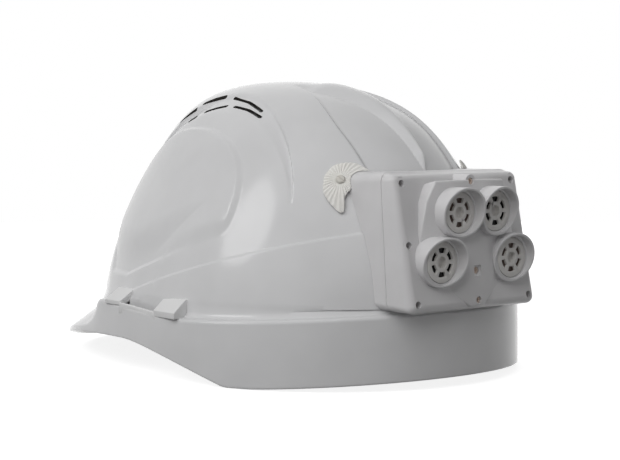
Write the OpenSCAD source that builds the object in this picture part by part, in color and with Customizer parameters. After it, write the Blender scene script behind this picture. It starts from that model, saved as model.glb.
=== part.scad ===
// Safety helmet with a peak, a ratchet harness and a four-sounder alarm box on its rear.
// Origin: on the table, under the middle of the dome. +Z up, -Y is the front, +X is the wearer's left.

/* [Shell] */
// Half width of the dome just above the rain gutter
dome_half_w = 108; // [104:1:112]
// Reach of the dome forward of its middle
dome_front = 130; // [126:1:134]
// Reach of the dome rearward of its middle
dome_rear = 130; // [127:1:133]
// Height of the crown above the table
crown_h = 161; // [155:1:166]
// Thickness of the shell
wall = 2.6; // [2.2:0.1:3]
// Width of the rain gutter at the sides
gutter_side = 6; // [5:0.5:7]
// Width of the rain gutter at the rear
gutter_rear = 3.5; // [3:0.5:5]
// Length of the peak beyond the dome
peak_len = 33; // [28:1:38]
// Height of the gutter at the sides
gutter_h = 34; // [33:0.5:35]
// Rise of the gutter towards the rear
gutter_rise = 5.3; // [4.5:0.1:5.5]
// Depth of the two channels beside the crest
channel_depth = 2.2; // [0:0.1:2.6]
// Height of the crest above the dome
crest_h = 2; // [0:0.1:3]
// Depth of the step that carries the vents
vent_step = 1.6; // [0:0.1:2]
// Width of a vent slot
vent_w = 2.3; // [1.6:0.1:3]
// Length of the accessory slot
slot_len = 32; // [28:1:34]
// Width of the accessory slot
slot_w = 5; // [4.6:0.1:5.2]

/* [Harness] */
// Radius of the headband's inner face at the sides and rear
band_r = 77.5; // [75:0.5:79]
// Height of the headband
band_h = 24; // [20:1:26]
// Thickness of the headband
band_t = 1.6; // [1.2:0.1:2]
// Height of the headband's lower edge above the table
band_z = 17; // [15:1:19]
// Width of the crown straps
strap_w = 20; // [16:1:24]
// Thickness of the crown straps
strap_t = 1.2; // [1:0.1:1.5]
// Gap between the shell's top and the cradle's
cradle_gap = 31; // [27:1:37]
// Diameter of the adjuster knob
knob_d = 38; // [32:1:40]
// Length of the adjuster knob
knob_l = 13; // [10:0.5:15]
// Play between sliding parts
play = 0.3; // [0.3:0.05:0.4]

/* [Box] */
// Half width of the box face
box_half_w = 46; // [44:0.5:48]
// Lean of the box face
face_tilt = 12.4; // [10:0.2:15]
// Height of the face's middle above the table
face_z = 75.3; // [74:0.1:77]
// How far the face's middle stands out from the dome
box_depth = 10.1; // [8.6:0.1:12.6]
// Thickness of the box walls
box_wall = 2.2; // [1.8:0.1:2.5]
// Outer diameter of a sounder hood
hood_d = 26; // [25:0.1:26.2]
// Diameter of a sounder capsule
sounder_d = 21; // [19:0.2:21.4]
// Length of a sounder capsule
sounder_l = 8.5; // [7.5:0.5:9]
// Diameter of the power button
button_d = 8.6; // [7:0.2:9]
// Travel of the power button
button_travel = 1.2; // [0.8:0.1:1.4]
// Diameter of the pleated pad under each upper corner of the box
pad_d = 24; // [20:1:26]

/* [Hidden] */

// Shell: the dome's sections are ellipses whose reach follows the height fraction s
base_z = gutter_h + 1.6;
side_lean = 0.26;
side_crown = 0.47;
front_lean = -0.08;
front_crown = 0.15;
rear_crown = 0.40;
crown_power = 5.4;
crown_shift = -15;
rim_half_w = dome_half_w + gutter_side;
rim_rear = dome_rear + gutter_rear;
rim_front = dome_front + peak_len;
peak_square = 2.3;
side_arch = 18.9;
arch_y = -20;
rest_y = 58;
rear_lift = 4.8;
lip_h = 3;
root_out = 6;
root_z = 27.3;

function ramp(a, b, x) = let (t = min(max((x - a) / (b - a), 0), 1)) t * t * (3 - 2 * t);
function mix(a, b, w) = a * (1 - w) + b * w;
function power_of(x, p) = pow(max(x, 0), p);
function reach(s, lean, crown) =
  sqrt(max(1 - s * s, 0)) * (1 - lean * s + crown * power_of(s, crown_power));
function height_part(z) = (z - base_z) / (crown_h - base_z);

// Bare dome at plan angle t and height fraction s
function dome_bare(t, s) = [
  dome_half_w * reach(s, side_lean, side_crown) * cos(t),
  (sin(t) < 0 ? dome_front * reach(s, front_lean, front_crown) : dome_rear * reach(s, 0, rear_crown)) * sin(t)
    + crown_shift * power_of(s, crown_power),
  base_z + (crown_h - base_z) * s];
function unit(v) = v / norm(v);
function dome_normal(t, s) = s > 0.995 ? [0, 0, 1] :
  unit(cross(dome_bare(t + 1, s) - dome_bare(t - 1, s), dome_bare(t, min(s + 0.01, 1)) - dome_bare(t, s - 0.01)));

// Raised and sunk fields of the dome, as heights above the bare surface
channel_y = [8, 26];
crest_half = 17.5;
crest_y = [30, 111];
function channel_half(y) = 17 + 16.5 * ramp(10, 75, y);
function crest_half_at(y) = min(channel_half(y) - 2.4,
  max(crest_half * (1 - power_of((y - crest_y[0]) / (crest_y[1] - crest_y[0]), 0.85)), 0.8));
function channel_field(p) = let (x = abs(p[0]), y = p[1])
  -channel_depth * ramp(channel_half(y) + 0.8, channel_half(y) - 0.8, x) * ramp(channel_y[0], channel_y[1], y)
  * ramp(62, 100, p[2]);
function crest_field(p) = let (x = abs(p[0]), y = p[1])
  (channel_depth + crest_h * ramp(0, 34, y)) * sin(90 * max(1 - x / crest_half_at(y), 0))
  * ramp(channel_y[0], channel_y[1], y) * ramp(106, 98, y) * ramp(62, 100, p[2]);
step_mid = [-6, base_z + 27];
step_half_y = 82;
step_outer_z = 91;
step_inner_z = 83;
function oval(p, m, ry, rz) = norm([(p[1] - m[0]) / ry, (p[2] - m[1]) / rz]);
function step_field(p) = let (
  outer = oval(p, step_mid, step_half_y, step_outer_z),
  inner = oval(p, step_mid, step_half_y, step_inner_z))
  abs(p[0]) < 25 ? 0 : -vent_step * ramp(0, 1, (1 - outer) / max(inner - outer, 0.001)) * ramp(60, 86, p[2])
    * ramp(0.4, 3.2, (inner - outer) * 85);
lobe_mid = [-19, base_z + 50.5];
lobe_half = [57, 46];
lobe_floor = 64.6;
lobe_slope = 0.34;
function lobe_line(y) = min(max(lobe_floor + lobe_slope * y, 52.6), 86);
function lobe_field(p) = let (
  top = (1 - oval(p, lobe_mid, lobe_half[0], lobe_half[1])) * 50,
  low = p[2] - lobe_line(p[1]) - 1.6)
  abs(p[0]) < 25 ? 0 : ramp(-4.2, 0, min(top, low)) * mix(-1.2, 1.5, ramp(2, 22, low));
function waist_z(y) = max(51.8 + 0.315 * y - 0.0004 * y * y, 44);
function waist_field(p) = 0.8 * ramp(0.8, -0.8, p[2] - waist_z(p[1])) * ramp(-30, -18, p[1]);
function fields(p) = channel_field(p) + crest_field(p) + step_field(p) + lobe_field(p) + waist_field(p);
// Finished dome surface, moved out by a distance
function dome_at(t, s, out = 0) = let (p = dome_bare(t, s)) p + dome_normal(t, s) * (fields(p) + out);
// Plan angle of the point of the rear dome at side distance x and height z
function dome_angle(x, z) = acos(x / (dome_half_w * reach(height_part(z), side_lean, side_crown)));
function dome_y(x, z) = dome_bare(dome_angle(x, z), height_part(z))[1];

// Rim, gutter and peak, ring by ring
function signed_power(v, p) = sign(v) * pow(abs(v), p);
function plan(t, out_side, out_front, out_rear, square) = sin(t) < 0
  ? [out_side * signed_power(cos(t), 2 / square), out_front * signed_power(sin(t), 2 / square)]
  : [out_side * cos(t), out_rear * sin(t)];
function rim_plan(t, inward) = plan(t, rim_half_w - inward, rim_front - inward, rim_rear - inward, peak_square);
function dome_plan(t, outward) = plan(t, dome_half_w + outward, dome_front + outward, dome_rear + outward, 2);
function gutter_z(y) = gutter_h + (y > 30 ? gutter_rise * power_of((y - 30) / 95, 1.5) : (30 - y) * 0.062);
function rim_z(y) = y < arch_y ? side_arch * (1 - power_of((arch_y - y) / (rim_front + arch_y), 2.1))
  : y < rest_y ? side_arch * (1 - power_of((y - arch_y) / (rest_y - arch_y), 1.6))
  : y < 72 ? 0 : rear_lift * power_of((y - 72) / (rim_rear - 74), 1.2);
function is_front(t) = ramp(-42, -80, rim_plan(t, 0)[1]);
function at_height(xy, z) = [xy[0], xy[1], z];
function foot(t, k) = let (
  w = is_front(t), y = rim_plan(t, 0)[1], r = rim_z(y), g = gutter_z(y), rim = rim_plan(t, 0))
  k == 0 ? at_height(rim, r)
  : k == 1 ? at_height(rim, r + lip_h)
  : k == 2 ? mix(at_height(rim, mix(r, g, 0.55)),
      at_height(mix(rim, dome_plan(t, root_out), 0.5), mix(r + lip_h, root_z, 0.5)), w)
  : k == 3 ? mix(at_height(rim_plan(t, 0.2), g - 1.2), at_height(dome_plan(t, root_out), root_z), w)
  : k == 4 ? mix(at_height(rim_plan(t, 1.4), g), at_height(dome_plan(t, 2.6), root_z + 4.2), w)
  : k == 5 ? mix(at_height(dome_plan(t, 0.9), g + 0.4), at_height(dome_plan(t, 0.6), root_z + 8), w)
  : at_height(dome_plan(t, 0) * 0.994, mix(g + 3.5, root_z + 12, w));
function foot_inside(t, k) = let (
  w = is_front(t), y = rim_plan(t, 0)[1], r = rim_z(y), g = gutter_z(y))
  k == 0 ? at_height(rim_plan(t, wall), r)
  : k == 1 ? mix(at_height(rim_plan(t, wall), g - wall - 0.8),
      at_height(mix(rim_plan(t, wall), dome_plan(t, 3), 0.85), mix(r, root_z - wall, 0.85)), w)
  : k == 2 ? mix(at_height(dome_plan(t, -wall + 0.4), g - wall + 0.2), at_height(dome_plan(t, -wall), root_z), w)
  : at_height(dome_plan(t, 0) * 0.994 - unit(dome_plan(t, 0)) * wall, mix(g + 3.5, root_z + 12, w));
FEET = 7;
FEET_IN = 4;
// Columns of the dome's mesh: the tenth and later ones of the rear quarter follow the channel and the crest
SIDE_COLS = 19;
QUARTER = 29;
COLS = 112;
function rear_y(t, s) = dome_rear * reach(s, 0, rear_crown) * sin(t) + crown_shift * power_of(s, crown_power);
function angle_for(x, s) = acos(min(x / max(dome_half_w * reach(s, side_lean, side_crown), 0.01), 0.64));
function channel_angle(s, off, t = 70, n = 4) = n == 0 ? t
  : channel_angle(s, off, angle_for(channel_half(rear_y(t, s)) + off, s), n - 1);
function crest_angle(s, t = 82, n = 4) = n == 0 ? t : crest_angle(s, angle_for(crest_half_at(rear_y(t, s)), s), n - 1);
function rear_col(k, s) = let (
  outer = channel_angle(s, 0.8), inner = max(channel_angle(s, -0.8), outer + 0.6),
  crest = min(max(crest_angle(s), inner + 1.5), 89))
  k < 3 ? mix(45, outer, (k + 1) / 4) : k == 3 ? outer : k == 4 ? inner
  : k < 8 ? mix(inner, crest, (k - 4) / 4) : k == 8 ? crest : mix(crest, 90, 0.5);
function col(j, s) = j < SIDE_COLS ? 2.5 * j : j < QUARTER ? rear_col(j - SIDE_COLS, s)
  : j == QUARTER ? 90 : j <= 2 * QUARTER ? 180 - col(2 * QUARTER - j, s)
  : j < 77 ? 182.5 + 2.5 * (j - 59) : j < 94 ? 230 + 5 * (j - 77) : 315 + 2.5 * (j - 94);
// Rows of the dome's mesh: two follow the waist line and two the lower edge of the side lobe
TOP_ROW = 84;
function plan_y(t) = (sin(t) < 0 ? dome_front : dome_rear) * 0.98 * sin(t);
function row_part(t, i, n) = let (
  w = height_part(waist_z(plan_y(t))), l = height_part(lobe_line(plan_y(t) * 0.97)), d = 0.0064)
  i == 0 ? mix(0.045, w - d, 0.5) : i == 1 ? w - d : i == 2 ? w + d : i == 3 ? l - 2 * d : i == 4 ? l + 2 * d
  : sin(mix(asin(l + 2 * d), TOP_ROW, (i - 4) / (n - 5)));
function dome_row(i, n, out) = [for (j = [0:COLS - 1]) let (
  s = row_part(col(j, 0.3), i, n), s_two = row_part(col(j, s), i, n)) dome_at(col(j, s_two), s_two, out)];
function foot_row(k) = [for (j = [0:COLS - 1]) foot(col(j, 0.1), k)];
function foot_inside_row(k) = [for (j = [0:COLS - 1]) foot_inside(col(j, 0.1), k)];

module skin(rows_out, rows_in, top_out, top_in) {
  n = len(rows_out[0]);
  a = len(rows_out);
  b = len(rows_in);
  points = [for (r = rows_out) each r, for (r = rows_in) each r, top_out, top_in];
  out_id = function (i, j) i * n + j % n;
  in_id = function (i, j) (a + i) * n + j % n;
  last = (a + b) * n;
  polyhedron(points, [
    for (i = [0:a - 2], j = [0:n - 1]) each [
      [out_id(i, j), out_id(i + 1, j + 1), out_id(i, j + 1)], [out_id(i, j), out_id(i + 1, j), out_id(i + 1, j + 1)]],
    for (i = [0:b - 2], j = [0:n - 1]) each [
      [in_id(i, j), in_id(i, j + 1), in_id(i + 1, j + 1)], [in_id(i, j), in_id(i + 1, j + 1), in_id(i + 1, j)]],
    for (j = [0:n - 1]) each [
      [out_id(a - 1, j), last, out_id(a - 1, j + 1)], [in_id(b - 1, j), in_id(b - 1, j + 1), last + 1],
      [out_id(0, j), out_id(0, j + 1), in_id(0, j + 1)], [out_id(0, j), in_id(0, j + 1), in_id(0, j)]]]);
}
OUT_ROWS = 23;
IN_ROWS = 12;
module shell_skin() {
  skin(
    [for (k = [0:FEET - 1]) foot_row(k), for (i = [0:OUT_ROWS - 1]) dome_row(i, OUT_ROWS, 0)],
    [for (k = [0:FEET_IN - 1]) foot_inside_row(k), for (i = [0:IN_ROWS - 1]) dome_row(i, IN_ROWS, -wall)],
    dome_at(0, 1), dome_at(0, 1, -wall));
}

// Local z along the dome's outward normal, at side distance x and height z on the rear half
module on_dome(x, z) {
  t = dome_angle(abs(x), z);
  s = height_part(z);
  p = dome_bare(t, s);
  n = dome_normal(t, s);
  mirror([x < 0 ? 1 : 0, 0, 0]) translate(p) rotate([0, acos(n[2]), atan2(n[1], n[0])]) children();
}

// Vent slots of one side: the points that each slot passes through
vents = [
  [[47.8, -58.8, 135], [46.3, -41.8, 145]], [[44.3, -35.8, 148.4], [42, -19.1, 152.3]],
  [[42.7, -9.9, 152.2], [45.3, 6.3, 149.9], [48.8, 22, 144.9]],
  [[54, -37.5, 138.3], [53.7, -31.9, 140.6]], [[52.3, -24.6, 143.9], [50.2, -8.5, 147.2]],
  [[50.3, 0, 146.9], [50.9, 13.3, 144.9], [52.1, 25.3, 141]]];
// Their heights above were drawn on a dome of these heights
drawn_base = 35.6;
drawn_rise = 125.4;
function raised(p) = [p[0], p[1], base_z + (p[2] - drawn_base) * (crown_h - base_z) / drawn_rise];
function side_x(y, z) = let (s = height_part(z))
  dome_half_w * reach(s, side_lean, side_crown)
  * sqrt(1 - pow((y - crown_shift * power_of(s, crown_power))
      / (y < 0 ? dome_front * reach(s, front_lean, front_crown) : dome_rear * reach(s, 0, rear_crown)), 2));
module vent_part(a, b) {
  m = (a + b) / 2;
  n = dome_normal(atan2((m[1] - crown_shift * power_of(height_part(m[2]), crown_power)) / dome_rear, m[0] / dome_half_w),
    height_part(m[2]));
  tilt = acos(n[2]);
  azimuth = atan2(n[1], n[0]);
  east = [cos(tilt) * cos(azimuth), cos(tilt) * sin(azimuth), -sin(tilt)];
  north = [-sin(azimuth), cos(azimuth), 0];
  long = norm(b - a);
  translate(m) rotate([0, tilt, azimuth]) rotate([0, 0, atan2((b - a) * north, (b - a) * east)])
    translate([0, 0, -9]) linear_extrude(18) {
      square([long, vent_w], center = true);
      for (e = [-1, 1]) translate([e * long / 2, 0]) circle(d = vent_w, $fn = 24);
    }
}
module vent_cut(points) {
  for (i = [0:len(points) - 2]) vent_part(raised(points[i]), raised(points[i + 1]));
}

// Accessory slots with a wedge at each end, at the sides of the gutter
slot_y = -5.5;
slot_lip = 2.1;
slot_x = rim_half_w - slot_lip - slot_w;
wedge_front_l = 15;
wedge_rear_l = 19;
module wedge(y0, length, high_in, high_out) {
  z = gutter_z(y0 + length / 2) - 1;
  x = side_x(y0 + length / 2, gutter_h + 8) - 2;
  w = rim_half_w - 0.6 - x;
  translate([x, y0 + length, z]) rotate([90, 0, 0]) linear_extrude(length)
    polygon([[0, 0], [w, 0], [w, high_out + 1], [2.5, high_in + 1], [0, high_in + 1]]);
}
module slot_wedges() {
  wedge(slot_y - slot_len / 2 - wedge_front_l, wedge_front_l, 7.6, 1.6);
  wedge(slot_y + slot_len / 2, wedge_rear_l, 9, 2.4);
  translate([slot_x + slot_w, slot_y + slot_len / 2 + 1, gutter_h - 2]) rotate([90, 0, -90])
    mirror([0, 0, 1]) linear_extrude(slot_lip - 0.4) polygon([[0, 0], [slot_len + 2, 0], [slot_len + 2, 6.6], [0, 4.2]]);
}
module slot_cut() {
  translate([slot_x, slot_y - slot_len / 2, gutter_h - 8]) cube([slot_w, slot_len, 30]);
}

// Harness sockets: four blocks inside the shell, each with a slot that is open below
clip_angle = 40;
clip_r = 108.3;
clip_w = 20;
clip_t = 2;
socket_z = [20, 40];
socket_depth = 16;
module at_clip(angle) {
  rotate([0, 0, angle]) children();
}
module sockets() {
  difference() {
    intersection() {
      union() {
        for (a = [clip_angle, 180 - clip_angle, 180 + clip_angle, 360 - clip_angle])
          at_clip(a) translate([clip_r - 2.8, -clip_w / 2 - 3, socket_z[0]])
            cube([25, clip_w + 6, socket_z[1] - socket_z[0]]);
      }
      linear_extrude(60) polygon([for (t = [0:4:356]) dome_plan(t, -1.2)]);
    }
    for (a = [clip_angle, 180 - clip_angle, 180 + clip_angle, 360 - clip_angle])
      at_clip(a) translate([clip_r - play, -clip_w / 2 - play, socket_z[0] - 1])
        cube([clip_t + 2 * play, clip_w + 2 * play, socket_depth + 1]);
  }
}

// Fixings between the shell and the box
rivet_x = 46.6;
rivet_z = 106.2;
rivet_d = 3.2;
ear_t = 1.2;
low_screw_x = 18;
low_screw_z = 48.5;
low_screw_d = 3;

module shell() {
  color("whitesmoke") difference() {
    union() {
      shell_skin();
      for (side = [0, 1]) mirror([side, 0, 0]) slot_wedges();
      sockets();
    }
    for (side = [0, 1]) mirror([side, 0, 0]) {
      for (v = vents) vent_cut(v);
      slot_cut();
      on_dome(rivet_x, rivet_z) cylinder(d = rivet_d + 2 * play, h = 20, center = true, $fn = 32);
      on_dome(low_screw_x, low_screw_z) cylinder(d = low_screw_d + 2 * play, h = 20, center = true, $fn = 32);
    }
  }
}

// Headband: the front band is fixed, the two rear bands turn about the band's middle
band_mid = 18;
front_reach = 112;
band_top = band_z + band_h;
left_r = band_r + band_t + play;
right_r = left_r + band_t + play;
front_tail = 36;
rear_from = 14;
rear_to = 114;
slide_angle = 10;
keeper_at = 27;
keeper_a = 8;
keeper_t = 1.6;
module sector(r0, r1, z0, z1, a0, a1) {
  translate([0, band_mid, 0]) rotate([0, 0, a0]) rotate_extrude(angle = a1 - a0, $fn = 96)
    translate([r0, z0]) square([r1 - r0, z1 - z0]);
}
module keeper(outer) {
  difference() {
    sector(band_r + band_t / 2, outer + play + keeper_t, band_z - play - keeper_t, band_top + play + keeper_t,
      keeper_at, keeper_at + keeper_a);
    sector(band_r, outer + play, band_z - play, band_top + play, keeper_at - 1, keeper_at + keeper_a + 1);
  }
}
function front_plan(out) = [for (u = [180:4:360]) [(band_r + out) * cos(u), band_mid + (front_reach + out) * sin(u)]];
function reversed(list) = [for (i = [len(list) - 1:-1:0]) list[i]];
// Arm from the band to a front clip
arm_w = 14;
arm_t = 2.5;
clip_in = 99.5;
arm_from = band_r + 3.5;
module arm(from) {
  translate([from, -arm_w / 2, band_top - arm_t]) cube([clip_in + 1.3 - from, arm_w, arm_t]);
}
rear_arm_from = band_r + 15.1;
module front_band() {
  color("dimgray") {
    front_loop();
    for (side = [0, 1]) mirror([side, 0, 0]) {
      sector(band_r, band_r + band_t, band_z, band_top, 0, front_tail);
      keeper(side == 0 ? left_r + band_t : right_r + band_t);
      at_clip(-clip_angle) arm(arm_from);
      at_clip(clip_angle) arm(rear_arm_from + (side == 0 ? 0 : band_t + play));
    }
  }
}
module front_loop() {
  translate([0, 0, band_z]) linear_extrude(band_h) polygon(concat(front_plan(0), reversed(front_plan(band_t))));
}
sweat_t = 4;
module sweatband() {
  color("black") translate([0, 0, band_z - 1]) linear_extrude(band_h + 2)
    polygon(concat([for (u = [194:4:346]) [(band_r - 0.1) * cos(u), band_mid + (front_reach - 0.1) * sin(u)]],
      reversed([for (u = [194:4:346]) [(band_r - sweat_t) * cos(u), band_mid + (front_reach - sweat_t) * sin(u)]])));
}

// Ratchet: a pinion meshes with the rack on the lower edge of one slot and the upper edge of the other
knob_z = band_z + band_h / 2;
pinion_teeth = 12;
pitch_r = 6;
tooth_high = 0.7;
tooth_gap = 0.3;
tooth_root = pitch_r - tooth_high - tooth_gap + 0.1;
tooth_tip = pitch_r + tooth_high;
tooth_w = 1.5;
turn_ratio = pitch_r / (left_r + band_t / 2);
pitch_angle = 360 / pinion_teeth * turn_ratio;
slot_half = 15;
module tooth(length, root_w, tip_w, high) {
  linear_extrude(length) polygon([[-root_w / 2, -0.5], [root_w / 2, -0.5], [tip_w / 2, high], [-tip_w / 2, high]]);
}
// Rear band with a toothed slot about the rear middle; upper is the side of the rack
module rear_band(r, upper) {
  far = tooth_tip + 0.6;
  root = tooth_tip + tooth_gap;
  low = upper ? knob_z - far : knob_z - root;
  high = upper ? knob_z + root : knob_z + far;
  difference() {
    sector(r, r + band_t, band_z, band_top, rear_from, rear_to);
    sector(r - 1, r + band_t + 1, low, high, 90 - slot_half, 90 + slot_half);
  }
  for (k = [-6:5]) translate([0, band_mid, upper ? high : low])
    rotate([0, 0, (k + 0.5) * pitch_angle]) rotate([-90, 0, 0]) mirror([0, upper ? 0 : 1, 0])
    translate([0, 0, r]) tooth(band_t, 1.7, 0.9, root - pitch_r + tooth_high - 0.1);
}
module left_rear_band() {
  color("dimgray") rear_band(left_r, false);
}
module right_rear_band() {
  color("dimgray") mirror([1, 0, 0]) rear_band(right_r, true);
}
house_a = 20;
house_t = 2.2;
house_rail = 5;
house_in = left_r - play;
house_out = right_r + band_t + play;
house_low = band_z - play - house_rail;
house_high = band_top + play + house_rail;
house_screw_a = 16;
pin_d = 3;
shaft_d = 8;
shaft_from = -0.4;
fit_gap = 0.05;
module at_house_screws() {
  for (a = [-house_screw_a, house_screw_a], z = [house_low + house_rail / 2, house_high - house_rail / 2])
    translate([0, band_mid, z]) rotate([0, 0, a]) rotate([-90, 0, 0]) children();
}
module knob_axis(y) {
  translate([0, band_mid + y, knob_z]) rotate([-90, 0, 0]) children();
}
module ratchet_back() {
  color("dimgray") difference() {
    union() {
      sector(house_in - house_t, house_in, house_low, house_high, 90 - house_a, 90 + house_a);
      sector(house_in - 0.5, house_out, house_low, house_low + house_rail, 90 - house_a, 90 + house_a);
      sector(house_in - 0.5, house_out, house_high - house_rail, house_high, 90 - house_a, 90 + house_a);
    }
    knob_axis(house_in - house_t - 1) cylinder(d = pin_d + 2 * fit_gap, h = house_t + 2, $fn = 48);
    at_house_screws() translate([0, 0, house_in - house_t + 0.8]) cylinder(d = 1.8, h = 12, $fn = 32);
  }
}
boss_h = 2;
cover_out = house_out + house_t;
module ratchet_cover() {
  color("dimgray") difference() {
    union() {
      sector(house_out, cover_out, house_low, house_high, 90 - house_a, 90 + house_a);
      intersection() {
        knob_axis(house_out) cylinder(d = shaft_d + 8, h = house_t + boss_h, $fn = 64);
        sector(house_out, cover_out + 20, house_low, house_high, 90 - house_a, 90 + house_a);
      }
    }
    knob_axis(house_out - 2) cylinder(d = shaft_d + 2 * fit_gap, h = 20, $fn = 64);
    at_house_screws() translate([0, 0, house_out - 1]) cylinder(d = 2.4, h = 12, $fn = 32);
  }
}
module ratchet_screws() {
  color("silver") at_house_screws() {
    translate([0, 0, house_in - house_t + 1.2]) cylinder(d = 1.8, h = cover_out - house_in + house_t - 1, $fn = 32);
    translate([0, 0, cover_out + 0.05]) difference() {
      cylinder(d = 3.8, h = 1.3, $fn = 32);
      translate([0, 0, 0.6]) linear_extrude(2) for (a = [0, 90]) rotate(a) square([2.4, 0.6], center = true);
    }
  }
}
module adjuster_knob() {
  base = cover_out + boss_h + play;
  color("dimgray") {
    knob_axis(base) difference() {
      union() {
        cylinder(d = knob_d, h = knob_l - 2, $fn = 96);
        translate([0, 0, knob_l - 2]) cylinder(d1 = knob_d, d2 = knob_d - 4, h = 2, $fn = 96);
      }
      for (a = [0:30:330]) rotate(a + 15) translate([knob_d / 2 + 2, 0, -1]) cylinder(d = 7, h = knob_l + 2, $fn = 40);
      translate([0, 0, knob_l - 1.2]) cylinder(d = knob_d - 12, h = 3, $fn = 96);
    }
    knob_axis(house_out + shaft_from) cylinder(d = shaft_d, h = base - house_out - shaft_from + 0.2, $fn = 64);
  }
}
module ratchet_pinion() {
  from = house_in + play / 2;
  color("dimgray") {
    knob_axis(from) {
      cylinder(r = tooth_root, h = house_out + shaft_from - from, $fn = 64);
      for (a = [0:360 / pinion_teeth:359]) rotate(a) translate([0, tooth_root, 0])
        linear_extrude(house_out - from - 0.5)
        polygon([[-0.9, -0.6], [0.9, -0.6], [0.45, tooth_tip - tooth_root], [-0.45, tooth_tip - tooth_root]]);
    }
    knob_axis(house_in - house_t + 0.4) cylinder(d = pin_d, h = house_t + 1, $fn = 48);
  }
}
nape_t = 4;
module nape_pad() {
  color("black") sector(house_in - house_t - 0.1 - nape_t, house_in - house_t - 0.1, house_low + 1, house_high - 1,
    90 - house_a, 90 + house_a);
}

// Crown straps: half ellipses with straight tails that stand in the clips
strap_r = 103;
cradle_h = crown_h - cradle_gap;
strap_foot = 44;
strap_low = 26.5;
clip_top = 42;
// Straps stand a little further in half way up, clear of the dome
function strap_x(u, r) = r * cos(u) * (1 - 0.028 * pow(sin(2 * u), 2));
module strap(top) {
  h = top - strap_foot;
  rotate([90, 0, 0]) translate([0, 0, -strap_w / 2]) linear_extrude(strap_w) polygon(concat(
    [[strap_r, strap_low]], [for (u = [0:5:180]) [strap_x(u, strap_r), strap_foot + h * sin(u)]], [[-strap_r, strap_low]],
    [[-strap_r + strap_t, strap_low]],
    [for (u = [180:-5:0]) [strap_x(u, strap_r - strap_t), strap_foot + (h - strap_t) * sin(u)]],
    [[strap_r - strap_t, strap_low]]));
}
module crown_strap_a() {
  color("gray") at_clip(clip_angle) strap(cradle_h);
}
module crown_strap_b() {
  color("gray") at_clip(180 - clip_angle) strap(cradle_h - strap_t - 3 * play);
}
pad_r = 32;
module crown_pad() {
  top = cradle_h - 2 * strap_t - 5 * play;
  h = top - strap_foot;
  r = strap_r - strap_t;
  edge = asin(pad_r / r);
  color("black") rotate_extrude($fn = 64) polygon(concat(
    [for (u = [90:-4:90 - edge]) [r * cos(u), strap_foot + h * sin(u)]],
    reversed([for (u = [90:-4:90 - edge]) [r * cos(u), strap_foot + h * sin(u) - (u > 90 - edge + 4 ? 5 : 3)]])));
}

// Clip: a tongue in the shell's socket, a foot and a pocket that holds the strap's tail
clip_foot = band_z + 0.4;
foot_t = 2.2;
module clip() {
  difference() {
    union() {
      translate([clip_r, -clip_w / 2, clip_foot]) cube([clip_t, clip_w, socket_z[0] + socket_depth - 0.6 - clip_foot]);
      translate([clip_in, -clip_w / 2 - 2, clip_foot]) cube([clip_r + clip_t - clip_in, clip_w + 4, foot_t]);
      translate([clip_in, -clip_w / 2 - 2, clip_foot]) cube([strap_r + 2 - clip_in, clip_w + 4, clip_top - clip_foot]);
    }
    translate([strap_r - strap_t - 0.1, -strap_w / 2 - 0.1, strap_low - 0.2]) cube([strap_t + 0.2, strap_w + 0.2, 30]);
    translate([clip_in - 1, -arm_w / 2 - play, band_top - arm_t - play]) cube([2.6, arm_w + 2 * play, arm_t + 2 * play]);
  }
}
module front_left_clip() {
  color("dimgray") at_clip(360 - clip_angle) clip();
}
module front_right_clip() {
  color("dimgray") at_clip(180 + clip_angle) clip();
}
module rear_left_clip() {
  color("dimgray") at_clip(clip_angle) clip();
}
module rear_right_clip() {
  color("dimgray") at_clip(180 - clip_angle) clip();
}

// Box: in the face frame x runs along the face, y out of it and z up it
face_y = dome_y(0, face_z) + box_depth;
seam_tilt = 5.3;
seam_z = 72.6;
seam_y = face_y - 12;
face_low = -34.6;
face_high = 37.4;
edge_r = 4;
low_half_w = box_half_w + 3;
back_y = face_y - 49.5;
box_low = 42;
box_high = 112;
skin_gap = 0.4;
module face_frame() {
  translate([0, face_y, face_z]) rotate([face_tilt, 0, 0]) children();
}
module seam_frame() {
  translate([0, seam_y, seam_z]) rotate([seam_tilt, 0, 0]) children();
}
// Face outline rounded by spheres, moved in by a distance
module face_corners(inside) {
  for (x = [-1, 1], z = [face_low + edge_r, face_high - edge_r])
    face_frame() translate([x * (box_half_w - edge_r), -edge_r - inside, z])
      rotate([90, 0, 0]) sphere(r = edge_r - inside * 0.6, $fn = 20);
}
// Outline of the box across y, with a half width and a corner radius at the top
module ring_corners(y, high_half_w, high_r, inside) {
  for (x = [-1, 1]) {
    translate([x * (low_half_w - edge_r), y, box_low + edge_r]) rotate([-90, 0, 0])
      cylinder(r = edge_r - inside, h = 0.1, $fn = 24);
    translate([x * (high_half_w - high_r), y, box_high - high_r]) rotate([-90, 0, 0])
      cylinder(r = high_r - inside, h = 0.1, $fn = 24);
  }
}
mid_y = face_y - 15.5;
module front_hull(inside) {
  hull() {
    face_corners(inside);
    ring_corners(mid_y, box_half_w + 0.8, edge_r + 1, inside);
  }
}
module back_hull(inside) {
  hull() {
    ring_corners(mid_y, box_half_w + 0.8, edge_r + 1, inside);
    ring_corners(back_y, box_half_w - 1.2, edge_r + 4, inside);
  }
}
module box_outer(inside) {
  front_hull(inside);
  back_hull(inside);
}
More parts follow.
